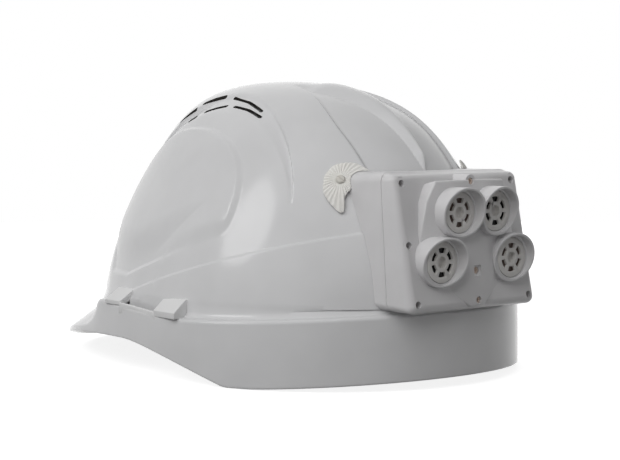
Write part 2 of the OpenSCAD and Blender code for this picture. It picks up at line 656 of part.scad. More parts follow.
// Rear dome between the plan angles that the box covers, grown by a distance
patch_angles = [for (t = [42:4:138]) t];
patch_parts = [for (z = [36:6:120]) height_part(z)];
function over_dome(t, s, out) = let (p = dome_bare(t, s)) p + dome_normal(t, s) * (max(waist_field(p), 0) + out);
module dome_patch(out) {
  n = len(patch_angles);
  m = len(patch_parts);
  front = [for (s = patch_parts) for (t = patch_angles) over_dome(t, s, out)];
  behind = [for (s = patch_parts) for (t = patch_angles) let (p = over_dome(t, s, out)) [p[0], 60, p[2]]];
  c = n * m;
  polyhedron(concat(front, behind), [
    for (i = [0:m - 2], j = [0:n - 2]) each [
      [i * n + j, (i + 1) * n + j, (i + 1) * n + j + 1], [i * n + j, (i + 1) * n + j + 1, i * n + j + 1],
      [c + i * n + j, c + (i + 1) * n + j + 1, c + (i + 1) * n + j], [c + i * n + j, c + i * n + j + 1, c + (i + 1) * n + j + 1]],
    for (j = [0:n - 2]) each [
      [j, j + 1, c + j + 1], [j, c + j + 1, c + j],
      [(m - 1) * n + j, c + (m - 1) * n + j, c + (m - 1) * n + j + 1], [(m - 1) * n + j, c + (m - 1) * n + j + 1, (m - 1) * n + j + 1]],
    for (i = [0:m - 2]) each [
      [i * n, c + i * n, c + (i + 1) * n], [i * n, c + (i + 1) * n, (i + 1) * n],
      [i * n + n - 1, (i + 1) * n + n - 1, c + (i + 1) * n + n - 1], [i * n + n - 1, c + (i + 1) * n + n - 1, c + i * n + n - 1]]]);
}
module behind_seam(gap) {
  seam_frame() translate([-100, -150, -100]) cube([200, 150 - gap, 200]);
}

// Screws of the cover, along y: side distance, height, face, depth of the head, joint of the two posts
screw_d = 1.8;
head_d = 3.6;
head_h = 1.3;
seam_at_top = seam_y - (110.2 - seam_z) * tan(seam_tilt);
seam_at_mid = seam_y - (75.3 - seam_z) * tan(seam_tilt);
screws = [[-40.3, 106.6, face_y - 6.9, 5, seam_at_top], [40.3, 106.6, face_y - 6.9, 5, seam_at_top],
  [-41.3, 75.3, face_y, 1.5, seam_at_mid], [41.3, 75.3, face_y, 5, seam_at_mid],
  [-40.7, 45.7, face_y + 6.6, 5, face_y - 4.5], [40.7, 45.7, face_y + 6.6, 5, face_y - 4.5],
  [0, 107.1, face_y + 3.4, 1.5, seam_at_top], [0, 61, face_y + 7.9, 1.5, face_y - 0.1],
  [0, 45.7, face_y + 9.3, 1.5, face_y + 1.5]];
post_d = 7;
module at_screws() {
  for (s = screws) translate([s[0], 0, s[1]]) rotate([-90, 0, 0]) {
    $s = s;
    children();
  }
}
module screw_holes() {
  at_screws() {
    translate([0, 0, $s[2] - $s[3] - head_h]) cylinder(d = head_d + 0.2, h = 20, $fn = 32);
    translate([0, 0, face_y - 23.5]) cylinder(d = screw_d + 0.4, h = 40, $fn = 32);
  }
}
module cover_screws() {
  color("tan") at_screws() {
    seat = $s[2] - $s[3] - head_h;
    translate([0, 0, seat]) difference() {
      cylinder(d = head_d, h = head_h, $fn = 32);
      translate([0, 0, head_h - 0.7]) linear_extrude(2) for (a = [0, 90]) rotate(a) square([2.4, 0.6], center = true);
    }
    translate([0, 0, $s[4] - 3.5]) cylinder(d = screw_d, h = seat - $s[4] + 3.6, $fn = 32);
  }
}
module cover_posts() {
  at_screws() translate([0, 0, $s[4] + 0.1]) cylinder(d = post_d, h = $s[2] - $s[4] - 1.1, $fn = 40);
}
// Posts for the circuit board and the battery: side distance, height and end
board_y = face_y - 8.3;
battery_y = face_y - 15.5;
inner_posts = [[-22, 91, board_y], [22, 91, board_y], [36, 86, battery_y], [36, 93, battery_y]];
module tray_posts() {
  difference() {
    union() {
      at_screws() translate([0, 0, back_y + 2]) cylinder(d = post_d, h = $s[4] - back_y - 2, $fn = 40);
      for (p = inner_posts) translate([p[0], back_y + 2, p[1]]) rotate([-90, 0, 0])
        cylinder(d = 5, h = p[2] - back_y - 2, $fn = 32);
      translate([-38.1, back_y + 2, 85]) cube([2, 30, 6]);
    }
    difference() {
      translate([-60, mid_y, box_low - 20]) cube([120, 40, 20 + box_wall + 0.2]);
      behind_seam(0.1);
    }
  }
}

// Raised middle of the cover that carries the hoods; y is the height above the face
plinth_half = [[24.5, 31.5, 9], [24.5, 26.9, 8], [30, 22, 6.3], [33.6, 4.3, 1.5], [33.6, -4, -1], [20, -22, -1],
  [8, -24, 1.5], [1.5, -33, 2.3], [4, -34, 1.6], [1.7, -1, 7], [5.3, -10.5, 5.6], [7, -22.5, 4], [10, 31.5, 9.9], [10, 27, 9]];
module plinth(inside) {
  hull() face_frame() for (p = plinth_half, side = [-1, 1])
    translate([side * max(p[0] - inside, 0.6) - 0.6, p[2] - inside - 8, (p[1] > 0 ? p[1] - inside : p[1] + inside) - 0.6])
      cube([1.2, 8, 1.2]);
}

hoods = [[13.2, 91.5, face_y - 6], [25.6, 66.5, face_y - 2.7]];
// Each hood's lip, left then right: its middle, its rise towards the top and its rise towards the outside
hood_lips = [[[12.1, 2.6, -2.2], [12.1, 2.6, 0.4]], [[11.2, 3, -3.4], [10.4, 2.2, 2.2]]];
hood_bore = sounder_d + 0.5;
hood_mouth = hood_d - 2.6;
sounder_face = face_y + 8.1;
module hood_place(k, side) {
  translate([side * hoods[k][0], 0, hoods[k][1]]) rotate([-90, 0, 0]) children();
}
module hood(k, side) {
  h = hoods[k];
  lip = hood_lips[k][side > 0 ? 0 : 1];
  r = hood_d / 2;
  color("whitesmoke") difference() {
    hood_place(k, side) translate([0, 0, h[2]]) difference() {
      cylinder(d = hood_d, h = 30, $fn = 96);
      translate([0, 0, sounder_face - sounder_l - h[2]]) cylinder(d = hood_bore, h = 40, $fn = 96);
      translate([0, 0, sounder_face - h[2]]) cylinder(d = hood_mouth, h = 40, $fn = 96);
      translate([0, 0, -1]) cylinder(d = sounder_d - 5, h = 30, $fn = 64);
    }
    translate([side * h[0], face_y + lip[0], h[1]]) rotate([atan(-lip[1] / r), 0, atan(side * lip[2] / r)])
      translate([-40, 0, -40]) cube([80, 40, 80]);
  }
}
module upper_left_hood() {
  hood(0, 1);
}
module upper_right_hood() {
  hood(0, -1);
}
module lower_left_hood() {
  hood(1, 1);
}
module lower_right_hood() {
  hood(1, -1);
}
// Sounder with a hole in its middle and six slots about it
module sounder(k, side) {
  color("gainsboro") hood_place(k, side) translate([0, 0, sounder_face - sounder_l]) difference() {
    cylinder(d = sounder_d, h = sounder_l, $fn = 96);
    translate([0, 0, sounder_l - 3]) {
      cylinder(d = 6, h = 5, $fn = 48);
      for (a = [0:60:300]) rotate(a + 90 - 21) rotate_extrude(angle = 42, $fn = 96) translate([4.9, 0]) square([2.7, 5]);
    }
  }
}
module upper_left_sounder() {
  sounder(0, 1);
}
module upper_right_sounder() {
  sounder(0, -1);
}
module lower_left_sounder() {
  sounder(1, 1);
}
module lower_right_sounder() {
  sounder(1, -1);
}
module hood_bores() {
  for (k = [0, 1], side = [-1, 1]) hood_place(k, side) translate([0, 0, face_y - 33]) cylinder(d = hood_d + 0.1, h = 80, $fn = 96);
}

// Button and charging socket in the right wall of the tray
button_y = face_y - 19;
button_z = 88;
socket_y = face_y - 14.7;
charge_z = 62;
side_wall = box_half_w + 3;
module right_wall(y, z) {
  translate([-side_wall, y, z]) rotate([0, -90, 0]) children();
}
module charge_outline(extra) {
  hull() for (z = [-1, 1]) translate([z * 2.9, 0]) circle(r = 1.6 + extra, $fn = 32);
}

module box_tray() {
  color("whitesmoke") difference() {
    union() {
      difference() {
        intersection() {
          box_outer(0);
          union() {
            behind_seam(0.1);
            dome_patch(box_wall + skin_gap);
          }
        }
        difference() {
          box_outer(box_wall);
          dome_patch(box_wall + skin_gap);
        }
      }
      tray_posts();
      for (side = [-1, 1]) {
        on_dome(side * rivet_x, rivet_z) translate([0, 0, skin_gap]) cylinder(r = 7.5, h = ear_t, $fn = 48);
        on_dome(side * low_screw_x, low_screw_z) translate([0, 0, 1]) cylinder(d = 7, h = 4.6, $fn = 40);
      }
    }
    dome_patch(skin_gap);
    for (side = [-1, 1]) {
      on_dome(side * rivet_x, rivet_z) cylinder(d = rivet_d + 2 * play, h = 20, center = true, $fn = 32);
      on_dome(side * low_screw_x, low_screw_z) cylinder(d = low_screw_d, h = 4.6, $fn = 32);
    }
    at_screws() translate([0, 0, $s[4] - 4]) cylinder(d = screw_d, h = 10, $fn = 32);
    right_wall(button_y, button_z) cylinder(d = button_d + 2 * play, h = 20, center = true, $fn = 48);
    right_wall(socket_y, charge_z) translate([0, 0, -10]) linear_extrude(20) charge_outline(0.2);
  }
}
module box_cover() {
  color("whitesmoke") difference() {
    union() {
      difference() {
        union() {
          front_hull(0);
          plinth(0);
        }
        front_hull(box_wall);
        plinth(box_wall);
      }
      cover_posts();
    }
    behind_seam(0);
    dome_patch(box_wall + skin_gap + 0.1);
    hood_bores();
    screw_holes();
  }
}
module circuit_board() {
  color("darkgreen") {
    translate([-26, board_y + 0.05, 81]) cube([52, 1.6, 15]);
    translate([-5, board_y - 1.1, 86]) cube([9, 1.2, 8]);
    translate([-16, board_y - 1.1, 88]) cube([5, 1.2, 5]);
  }
}
module battery() {
  color("slategray") translate([29, battery_y + 0.05, 82]) cube([14, 5.6, 14]);
}
module button_switch() {
  color("black") right_wall(button_y, button_z) translate([-2.5, -2.5, -10.8]) cube([5, 5, 4]);
}
module power_button() {
  color("orangered") right_wall(button_y, button_z) {
    translate([0, 0, -5.4]) cylinder(d = button_d, h = 6.2, $fn = 48);
    translate([0, 0, -5.5]) cylinder(d = button_d + 2.4, h = 1.2, $fn = 48);
  }
}
module charge_socket() {
  color("silver") right_wall(socket_y, charge_z) translate([0, 0, -5.8]) difference() {
    linear_extrude(5) charge_outline(0);
    translate([0, 0, 1]) linear_extrude(7) charge_outline(-0.4);
  }
}

// Pleated pads at the box's upper corners: outline radius by angle, from the side that faces the box
pleats = 30;
pad_rings = [0.3, 0.62, 0.86, 1];
pad_z = skin_gap + ear_t + 0.3;
pad_high = 1.3;
pad_outline = [[0, 10], [12, 15.5], [20, 16.4], [34, 14.8], [70, 11.2], [106, 9.8], [142, 8.8], [185, 8.9], [215, 10.6],
  [234, 12.2], [259, 15.4], [272, 18.2], [278, 17.6], [284, 10], [300, 8], [330, 7], [360, 10]];
function pad_point(f, a, top) = let (r = f * lookup(a, pad_outline) * pad_d / 24, c = -r * r / 210,
  high = pad_high * (f > 0.9 ? 0.5 : f > 0.7 ? 0.9 : 1) + (f < 0.95 ? 0.3 * f * cos(pleats * a) : 0))
  [r * cos(a), r * sin(a), pad_z + (top ? high : 0) + c * (r > 12 ? 1 : 0.6)];
module pleated_pad() {
  steps = pleats * 2;
  rings = len(pad_rings);
  top = [for (f = pad_rings) for (i = [0:steps - 1]) pad_point(f, i * 360 / steps, true)];
  low = [for (f = [0.5, 1]) for (i = [0:steps - 1]) pad_point(f, i * 360 / steps, false)];
  t = len(top);
  c = t + len(low);
  polyhedron(concat(top, low, [[0, 0, pad_z + pad_high], [0, 0, pad_z]]), [
    for (k = [0:rings - 2], i = [0:steps - 1]) each [
      [k * steps + i, (k + 1) * steps + (i + 1) % steps, (k + 1) * steps + i],
      [k * steps + i, k * steps + (i + 1) % steps, (k + 1) * steps + (i + 1) % steps]],
    for (i = [0:steps - 1]) each [
      [i, c, (i + 1) % steps], [t + i, t + (i + 1) % steps, c + 1],
      [t + i, t + steps + (i + 1) % steps, t + (i + 1) % steps], [t + i, t + steps + i, t + steps + (i + 1) % steps],
      [(rings - 1) * steps + i, t + steps + (i + 1) % steps, t + steps + i],
      [(rings - 1) * steps + i, (rings - 1) * steps + (i + 1) % steps, t + steps + (i + 1) % steps]]]);
}
// Turns the pad so that its first angle points along the box's upper edge
pad_turn = 90;
module mount_pad(side) {
  color("linen") difference() {
    on_dome(side * rivet_x, rivet_z) rotate([0, 0, pad_turn]) difference() {
      pleated_pad();
      cylinder(d = rivet_d + play, h = 20, center = true, $fn = 32);
    }
    back_hull(-play);
  }
}
module left_pad() {
  mount_pad(1);
}
module right_pad() {
  mount_pad(-1);
}
rivet_head = 5.2;
module pad_rivets() {
  color("linen") for (side = [-1, 1]) on_dome(side * rivet_x, rivet_z) difference() {
    union() {
      translate([0, 0, pad_z + pad_high + 0.1]) cylinder(d1 = rivet_head, d2 = rivet_head - 1.2, h = 0.9, $fn = 40);
      translate([0, 0, -wall - 1.6]) cylinder(d = rivet_d, h = wall + 1.8 + pad_z + pad_high, $fn = 32);
      translate([0, 0, -wall - 3]) cylinder(d = rivet_head + 3, h = 1.5, $fn = 40);
    }
    rotate([0, 0, 50]) translate([-4, -0.35, pad_z + pad_high + 0.5]) cube([8, 0.7, 3]);
  }
}
module tray_screws() {
  color("silver") for (side = [-1, 1]) on_dome(side * low_screw_x, low_screw_z) {
    translate([0, 0, -wall - 1.5]) cylinder(d = low_screw_d, h = wall + 1.5 + 4.4, $fn = 32);
    translate([0, 0, -wall - 2.8]) cylinder(d = 6, h = 1.8, $fn = 40);
  }
}

shell();
front_band();
sweatband();
left_rear_band();
right_rear_band();
ratchet_back();
ratchet_cover();
ratchet_screws();
adjuster_knob();
ratchet_pinion();
nape_pad();
crown_strap_a();
crown_strap_b();
crown_pad();
front_left_clip();
front_right_clip();
rear_left_clip();
rear_right_clip();
box_tray();
box_cover();
circuit_board();
button_switch();
battery();
cover_screws();
tray_screws();
upper_left_hood();
upper_right_hood();
lower_left_hood();
lower_right_hood();
upper_left_sounder();
upper_right_sounder();
lower_left_sounder();
lower_right_sounder();
left_pad();
right_pad();
pad_rivets();
power_button();
charge_socket();
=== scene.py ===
import bpy
import bmesh
import math
import numpy as np
from mathutils import Matrix, Vector


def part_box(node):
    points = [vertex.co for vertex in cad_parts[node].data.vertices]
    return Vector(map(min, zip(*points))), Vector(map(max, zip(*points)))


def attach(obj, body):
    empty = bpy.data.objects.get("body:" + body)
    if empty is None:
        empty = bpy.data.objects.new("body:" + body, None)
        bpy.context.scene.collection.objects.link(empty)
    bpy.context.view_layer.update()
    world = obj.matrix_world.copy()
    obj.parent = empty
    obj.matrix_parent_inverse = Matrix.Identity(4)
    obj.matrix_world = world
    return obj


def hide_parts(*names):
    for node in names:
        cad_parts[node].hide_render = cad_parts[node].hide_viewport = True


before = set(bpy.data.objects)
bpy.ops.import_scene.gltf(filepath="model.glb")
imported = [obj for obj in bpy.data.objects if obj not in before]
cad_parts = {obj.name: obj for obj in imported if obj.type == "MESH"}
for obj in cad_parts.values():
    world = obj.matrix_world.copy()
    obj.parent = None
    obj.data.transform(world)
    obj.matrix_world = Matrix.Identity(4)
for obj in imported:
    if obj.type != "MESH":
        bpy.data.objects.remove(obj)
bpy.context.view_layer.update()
print("frame loaded:", len(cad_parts), "nodes")

mm = 0.001
mirrorX = Matrix.Scale(-1, 4, (1, 0, 0))

# Camera at the photograph's angle
cameraView = {
    "azimuth": 140, "elevation": 3.9, "distance": 0.952,
    "aim": (0.0041, 0.0746),          # right of and above the origin
    "lens": 94.65, "sensor": 36,
}

def viewAxes(azimuth, elevation):
    a, e = math.radians(azimuth), math.radians(elevation)
    right = Vector((math.cos(a), math.sin(a), 0))
    back = Vector((math.sin(a) * math.cos(e), -math.cos(a) * math.cos(e), math.sin(e)))
    return right, back

def addCamera(v):
    right, back = viewAxes(v["azimuth"], v["elevation"])
    data = bpy.data.cameras.new("camera")
    data.lens, data.sensor_width = v["lens"], v["sensor"]
    camera = bpy.data.objects.new("camera", data)
    bpy.context.scene.collection.objects.link(camera)
    camera.location = Vector((0, 0, v["aim"][1])) + right * v["aim"][0] + back * v["distance"]
    camera.rotation_mode = "QUATERNION"
    camera.rotation_quaternion = (-back).to_track_quat("-Z", "Y")
    bpy.context.scene.camera = camera

addCamera(cameraView)

# Selecting and finishing pieces
def deselectAll():
    for o in bpy.context.selected_objects:
        o.select_set(False)

def makeActive(o):
    deselectAll()
    o.select_set(True)
    bpy.context.view_layer.objects.active = o

def enterEdit(o):
    makeActive(o)
    bpy.ops.object.mode_set(mode="EDIT")
    bpy.ops.mesh.select_all(action="SELECT")

def leaveEdit():
    bpy.ops.object.mode_set(mode="OBJECT")

def applyPlace(o):
    makeActive(o)
    bpy.ops.object.transform_apply(location=True, rotation=True, scale=True)

def applyModifier(o, kind, **settings):
    makeActive(o)
    m = o.modifiers.new(kind.lower(), kind)
    for name, value in settings.items():
        setattr(m, name, value)
    bpy.ops.object.modifier_apply(modifier=m.name)

# Faces that meet at less than the smooth angle are shaded as one
def finishPiece(o, name, body, material, stands, smooth):
    makeActive(o)
    bpy.ops.object.shade_smooth_by_angle(angle=math.radians(smooth))
    o.name = name
    o.data.name = name
    if material:                            # else the mesh brings its own
        o.data.materials.clear()
        o.data.materials.append(material)
    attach(o, body)
    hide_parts(*stands)
    return o

# A copy of a CAD node with its doubles merged and its flat parts joined
def mergedCopy(node):
    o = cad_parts[node].copy()
    o.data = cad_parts[node].data.copy()
    o.parent = None
    for key in list(o.keys()):
        del o[key]
    bpy.context.scene.collection.objects.link(o)
    o.hide_render = o.hide_viewport = False
    o.data.materials.clear()
    enterEdit(o)
    bpy.ops.mesh.remove_doubles(threshold=0.01 * mm)
    bpy.ops.mesh.dissolve_limited(angle_limit=math.radians(0.6))
    leaveEdit()
    return o

# Rings of points in mm: a circle is extruded from ring to ring, and its points are set on each
def loft(name, rings, closed=False):
    rings = [np.array(ring, float) * mm for ring in rings]
    deselectAll()
    bpy.ops.mesh.primitive_circle_add(vertices=len(rings[0]), fill_type="NOTHING" if closed else "NGON")
    o = bpy.context.object
    o.name = name
    for v, point in zip(o.data.vertices, rings[0]):
        v.co = point
    bpy.ops.object.mode_set(mode="EDIT")
    bpy.ops.mesh.select_mode(type="VERT")
    bpy.ops.mesh.select_all(action="SELECT")
    for old, new in zip(rings, rings[1:]):
        bpy.ops.mesh.extrude_region_move()
        bm = bmesh.from_edit_mesh(o.data)
        for v in bm.verts:
            if v.select:
                v.co = new[np.argmin(((old - np.array(v.co)) ** 2).sum(axis=1))]
        bmesh.update_edit_mesh(o.data)
    bpy.ops.mesh.select_all(action="SELECT")
    bpy.ops.mesh.remove_doubles(threshold=0.000004)
    bpy.ops.mesh.normals_make_consistent(inside=False)
    leaveEdit()
    return o

def roundBar(name, radius, start, end, matrix, sides=48):
    deselectAll()
    bpy.ops.mesh.primitive_cylinder_add(vertices=sides, radius=radius * mm, depth=(end - start) * mm,
        location=(0, 0, (start + end) / 2 * mm))
    o = bpy.context.object
    o.name = name
    applyPlace(o)
    o.data.transform(matrix)
    return o

def joined(objects):
    makeActive(objects[0])
    for o in objects:
        o.select_set(True)
    if len(objects) > 1:
        bpy.ops.object.join()
    return objects[0]

def combine(o, operation, others):
    other = joined(others)
    applyModifier(o, "BOOLEAN", operation=operation, object=other, solver="EXACT")
    bpy.data.objects.remove(other)
    return o

def bevelled(o, width, segments=2, degrees=35):
    applyModifier(o, "BEVEL", width=width * mm, segments=segments, limit_method="ANGLE",
        angle_limit=math.radians(degrees), harden_normals=False)
    return o

# Materials
def hexColour(text):
    parts = [int(text[i:i + 2], 16) / 255 for i in (0, 2, 4)]
    return tuple(c / 12.92 if c <= 0.04045 else ((c + 0.055) / 1.055) ** 2.4 for c in parts) + (1,)

# settings are the node's properties and socket values, and links go into its sockets
def addNode(tree, kind, settings=None, links=None):
    n = tree.nodes.new("ShaderNode" + kind)
    for key, value in (settings or {}).items():
        if isinstance(key, str) and hasattr(n, key):
            setattr(n, key, value)
        else:
            n.inputs[key].default_value = value
    for key, source in (links or {}).items():
        tree.links.new(source, n.inputs[key])
    return n

def emptyTree(owner):
    owner.use_nodes = True
    owner.node_tree.nodes.clear()
    return owner.node_tree

def startMaterial(name, settings, place="Object"):
    material = bpy.data.materials.new(name)
    tree = emptyTree(material)
    shader = addNode(tree, "BsdfPrincipled", settings)
    addNode(tree, "OutputMaterial", {}, {"Surface": shader.outputs["BSDF"]})
    return material, tree, shader, addNode(tree, "TexCoord").outputs[place]

def setColour(tree, shader, factor, low, high, spread=(0.3, 0.7)):
    ramp = addNode(tree, "ValToRGB", {}, {"Fac": factor})
    for end, at, colour in zip(ramp.color_ramp.elements, spread, (low, high)):
        end.position, end.color = at, hexColour(colour)
    tree.links.new(ramp.outputs["Color"], shader.inputs["Base Color"])

# The distance is in mm, and under is the normal that this bump goes on top of
def setBump(tree, shader, height, strength, distance, under=None):
    bump = addNode(tree, "Bump", {"Strength": strength, "Distance": distance * mm}, {"Height": height})
    if under is not None:
        tree.links.new(under, bump.inputs["Normal"])
    tree.links.new(bump.outputs["Normal"], shader.inputs["Normal"])
    return bump.outputs["Normal"]

# Injection-moulded plastic: a fine grain from the mould, and slow waves in a polished wall
def mouldedPlastic(name, low, high, roughness, grainSize, grain, waveSize=30, wave=0.0):
    material, tree, shader, place = startMaterial(name, {"Roughness": roughness, "IOR": 1.53})
    slow = addNode(tree, "TexNoise", {"Scale": 1000 / waveSize, "Detail": 2}, {"Vector": place})
    fine = addNode(tree, "TexNoise", {"Scale": 1000 / grainSize, "Detail": 3}, {"Vector": place})
    setColour(tree, shader, slow.outputs["Fac"], low, high)
    grained = setBump(tree, shader, fine.outputs["Fac"], grain, 0.2)
    setBump(tree, shader, slow.outputs["Fac"], wave, 2, grained)
    return material

# Polished shell: a cool white that mirrors the lamp in one soft patch
polishedAbs = mouldedPlastic("polishedAbs", "D3D3D4", "D8D8D9", 0.13, 1.4, 0.03, 26, 0.05)
# Satin box and hoods: the same white with broad, dull highlights
satinAbs = mouldedPlastic("satinAbs", "D2D1D2", "D9D8D9", 0.31, 0.9, 0.12, 22, 0.03)
# Walls of the vents: unpolished, with painted shade in their near-black colour, so the slots read as dark lines
ventPaintedShade = mouldedPlastic("ventPaintedShade", "1E1B19", "2A2623", 0.6, 1, 0.1)
# Harness, knob, rivets, button and the parts inside the box: plain tones, matt or half matt
nylonBand = mouldedPlastic("nylonBand", "33363A", "3B3E42", 0.5, 1.0, 0.2)
knobElastomer = mouldedPlastic("knobElastomer", "1C1C1E", "242426", 0.68, 0.7, 0.4)
rivetNylon = mouldedPlastic("rivetNylon", "C9C6BE", "D2CFC8", 0.45, 0.8, 0.1)
buttonRubber = mouldedPlastic("buttonRubber", "B7491B", "C25322", 0.6, 0.7, 0.3)
boardLaminate = mouldedPlastic("boardLaminate", "14502B", "1C6236", 0.4, 1.5, 0.1)
cellWrap = mouldedPlastic("cellWrap", "4A5A76", "52637F", 0.3, 2, 0.05)
switchPlastic = mouldedPlastic("switchPlastic", "161617", "1E1E20", 0.45, 1, 0.1)

# Sounder plastic: behind the ring of slots, deeper than depthY and off the hub, the plastic takes a second, darker
# colour
def sounderPlastic(name, axisX, axisZ, depthY, deepColour):
    material = mouldedPlastic(name, "D4D2CF", "DAD8D5", 0.42, 0.8, 0.15)
    tree = material.node_tree
    colour = tree.nodes["Principled BSDF"].inputs["Base Color"]
    plastic = colour.links[0].from_socket
    place = addNode(tree, "SeparateXYZ", {}, {"Vector": addNode(tree, "TexCoord").outputs["Object"]}).outputs
    flat = addNode(tree, "CombineXYZ", {}, {"X": place["X"], "Y": place["Z"]}).outputs["Vector"]
    away = addNode(tree, "VectorMath", {"operation": "DISTANCE", 1: (axisX * mm, axisZ * mm, 0)}, {0: flat})
    outside = addNode(tree, "Math", {"operation": "GREATER_THAN", 1: 3.4 * mm}, {0: away.outputs["Value"]})
    deep = addNode(tree, "Math", {"operation": "LESS_THAN", 1: depthY * mm}, {0: place["Y"]})
    both = addNode(tree, "Math", {"operation": "MULTIPLY"}, {0: outside.outputs[0], 1: deep.outputs[0]})
    mixed = addNode(tree, "MixRGB", {"Color2": hexColour(deepColour)},
        {"Fac": both.outputs[0], "Color1": plastic})
    tree.links.new(mixed.outputs["Color"], colour)
    return material

# Screw heads and the socket: small specks in the coat or the plating
def screwMetal(name, low, high, metallic, roughness):
    material, tree, shader, place = startMaterial(name, {"Metallic": metallic, "Roughness": roughness})
    specks = addNode(tree, "TexNoise", {"Scale": 900, "Detail": 4}, {"Vector": place}).outputs["Fac"]
    setColour(tree, shader, specks, low, high)
    setBump(tree, shader, specks, 0.2, 0.1)
    return material

coatedScrew = screwMetal("coatedScrew", "D2BDAE", "E0D0C3", 0.0, 0.45)
zincSteel = screwMetal("zincSteel", "8F9091", "B5B6B7", 0.9, 0.35)
platedSocket = screwMetal("platedSocket", "A0A1A2", "BDBEC0", 0.95, 0.28)

# Needle-punched felt, pressed into pleats: matt, off-white, with short fibres and a little grey
def feltMaterial(name, low, high, fibre):
    material, tree, shader, place = startMaterial(name,
        {"Roughness": 0.95, "Sheen Weight": 0.25, "Sheen Roughness": 0.5})
    tone = addNode(tree, "TexNoise", {"Scale": 1000 / 6, "Detail": 4}, {"Vector": place})
    hair = addNode(tree, "TexNoise", {"Scale": 1000 / fibre, "Detail": 6, "Distortion": 1.5},
        {"Vector": place})
    setColour(tree, shader, tone.outputs["Fac"], low, high)
    setBump(tree, shader, hair.outputs["Fac"], 0.35, 0.3)
    return material

pressedFelt = feltMaterial("pressedFelt", "EAE8E3", "F1F0EC", 0.9)      # fibres drawn coarse, 0.9 mm, to show

# Warp-knitted polyester over foam: dark, soft, with rows of loops 1.2 mm apart
def knitMaterial(name, low, high, loop):
    material, tree, shader, place = startMaterial(name,
        {"Roughness": 0.92, "Sheen Weight": 0.4, "Sheen Roughness": 0.4})
    rows = addNode(tree, "TexWave", {"wave_type": "BANDS", "bands_direction": "Z", "Scale": 200 / loop,
        "Distortion": 0.6, "Detail": 1}, {"Vector": place})
    loops = addNode(tree, "TexVoronoi", {"Scale": 1000 / loop}, {"Vector": place}).outputs["Distance"]
    setColour(tree, shader, loops, low, high, (0.1, 0.8))
    both = addNode(tree, "Math", {"operation": "ADD"}, {0: rows.outputs["Fac"], 1: loops})
    setBump(tree, shader, both.outputs[0], 0.4, 0.4)
    return material

knitOverFoam = knitMaterial("knitOverFoam", "1B1C1E", "2B2C2F", 1.2)

# Woven polyester webbing: ribs across the strap every 1.3 mm, crossed by finer warp threads
def webbingMaterial(name, low, high):
    material, tree, shader, place = startMaterial(name, {"Roughness": 0.8, "Sheen Weight": 0.2}, "UV")
    split = addNode(tree, "SeparateXYZ", {}, {"Vector": place}).outputs      # 1 unit is 100 mm
    threads = []
    for axis, rate in (("X", 483), ("Y", 785)):
        turns = addNode(tree, "Math", {"operation": "MULTIPLY", 1: rate}, {0: split[axis]})
        threads.append(addNode(tree, "Math", {"operation": "SINE"}, {0: turns.outputs[0]}).outputs[0])
    weave = addNode(tree, "Math", {"operation": "MULTIPLY"}, {0: threads[0], 1: threads[1]})
    half = addNode(tree, "Math", {"operation": "MULTIPLY_ADD", 1: 0.5, 2: 0.5}, {0: weave.outputs[0]})
    setColour(tree, shader, half.outputs[0], low, high, (0, 1))
    setBump(tree, shader, half.outputs[0], 0.5, 0.3)
    return material

wovenPolyester = webbingMaterial("wovenPolyester", "2E3033", "43464A")

# Dome, in millimetres: the sections are ellipses whose reach follows the height share s
dome = {
    "halfWidth": 108, "front": 130, "rear": 130, "top": 161, "wall": 2.6,
    "sideGutter": 6, "rearGutter": 3.5, "peak": 33, "gutterHeight": 34, "gutterRise": 5.3,
    "baseHeight": 35.6, "shift": -15, "power": 5.4,
    "channelDepth": 2.2, "crestHeight": 2.0, "valleyDepth": 1.7,
    "columns": 244, "rows": 76, "insideRows": 26,
    "steep": (0.16, 0.13),              # relief across a cell, in mm, above which a pass cuts it in four
}
rimHalf = dome["halfWidth"] + dome["sideGutter"]
rimRear = dome["rear"] + dome["rearGutter"]
rimFront = dome["front"] + dome["peak"]

def ramp(a, b, x):
    k = np.clip((x - a) / (b - a), 0, 1)
    return k * k * (3 - 2 * k)

def mix(a, b, w):
    return a * (1 - w) + b * w

def powerOf(x, p):
    return np.maximum(x, 0) ** p

def reach(s, lean, crown):
    return np.sqrt(np.maximum(1 - s * s, 0)) * (1 - lean * s + crown * powerOf(s, dome["power"]))

def heightShare(z):
    return (z - dome["baseHeight"]) / (dome["top"] - dome["baseHeight"])

def halfWidthAt(s):
    return dome["halfWidth"] * reach(s, 0.26, 0.47)

def lengthAt(s, forward):
    return np.where(forward, dome["front"] * reach(s, -0.08, 0.15), dome["rear"] * reach(s, 0, 0.40))

def shiftAt(s):
    return dome["shift"] * powerOf(s, dome["power"])

def domeBare(t, s):
    c, n = np.cos(np.radians(t)), np.sin(np.radians(t))
    x = halfWidthAt(s) * c
    y = lengthAt(s, n < 0) * n + shiftAt(s)
    return np.stack([x, y, dome["baseHeight"] + (dome["top"] - dome["baseHeight"]) * s + 0 * x], -1)

def unit(v):
    return v / np.maximum(np.linalg.norm(v, axis=-1, keepdims=True), 1e-12)

def domeNormal(t, s):
    across = domeBare(t + 1, s) - domeBare(t - 1, s)
    upward = domeBare(t, np.minimum(s + 0.005, 1)) - domeBare(t, s - 0.005)
    n = unit(np.cross(across, upward))
    flat = (s > 0.995)[..., None]
    return np.where(flat, np.array([0, 0, 1.0]), n)

def channelHalf(y):
    return 17 + 16.5 * ramp(10, 75, y)

def crestHalf(y):
    return np.minimum(channelHalf(y) - 2.4, np.maximum(17.5 * (1 - powerOf((y - 30) / 81, 0.85)), 0.8))

def oval(p, middle, halfY, halfZ, square=2.0):
    return (np.abs((p[..., 1] - middle[0]) / halfY) ** square
        + np.abs((p[..., 2] - middle[1]) / halfZ) ** square) ** (1 / square)

def lobeLine(y):
    return np.clip(64.6 + 0.34 * y, 52.6, 86)

def waistLine(y):
    return np.maximum(51.8 + 0.315 * y - 0.0004 * y * y, 44)

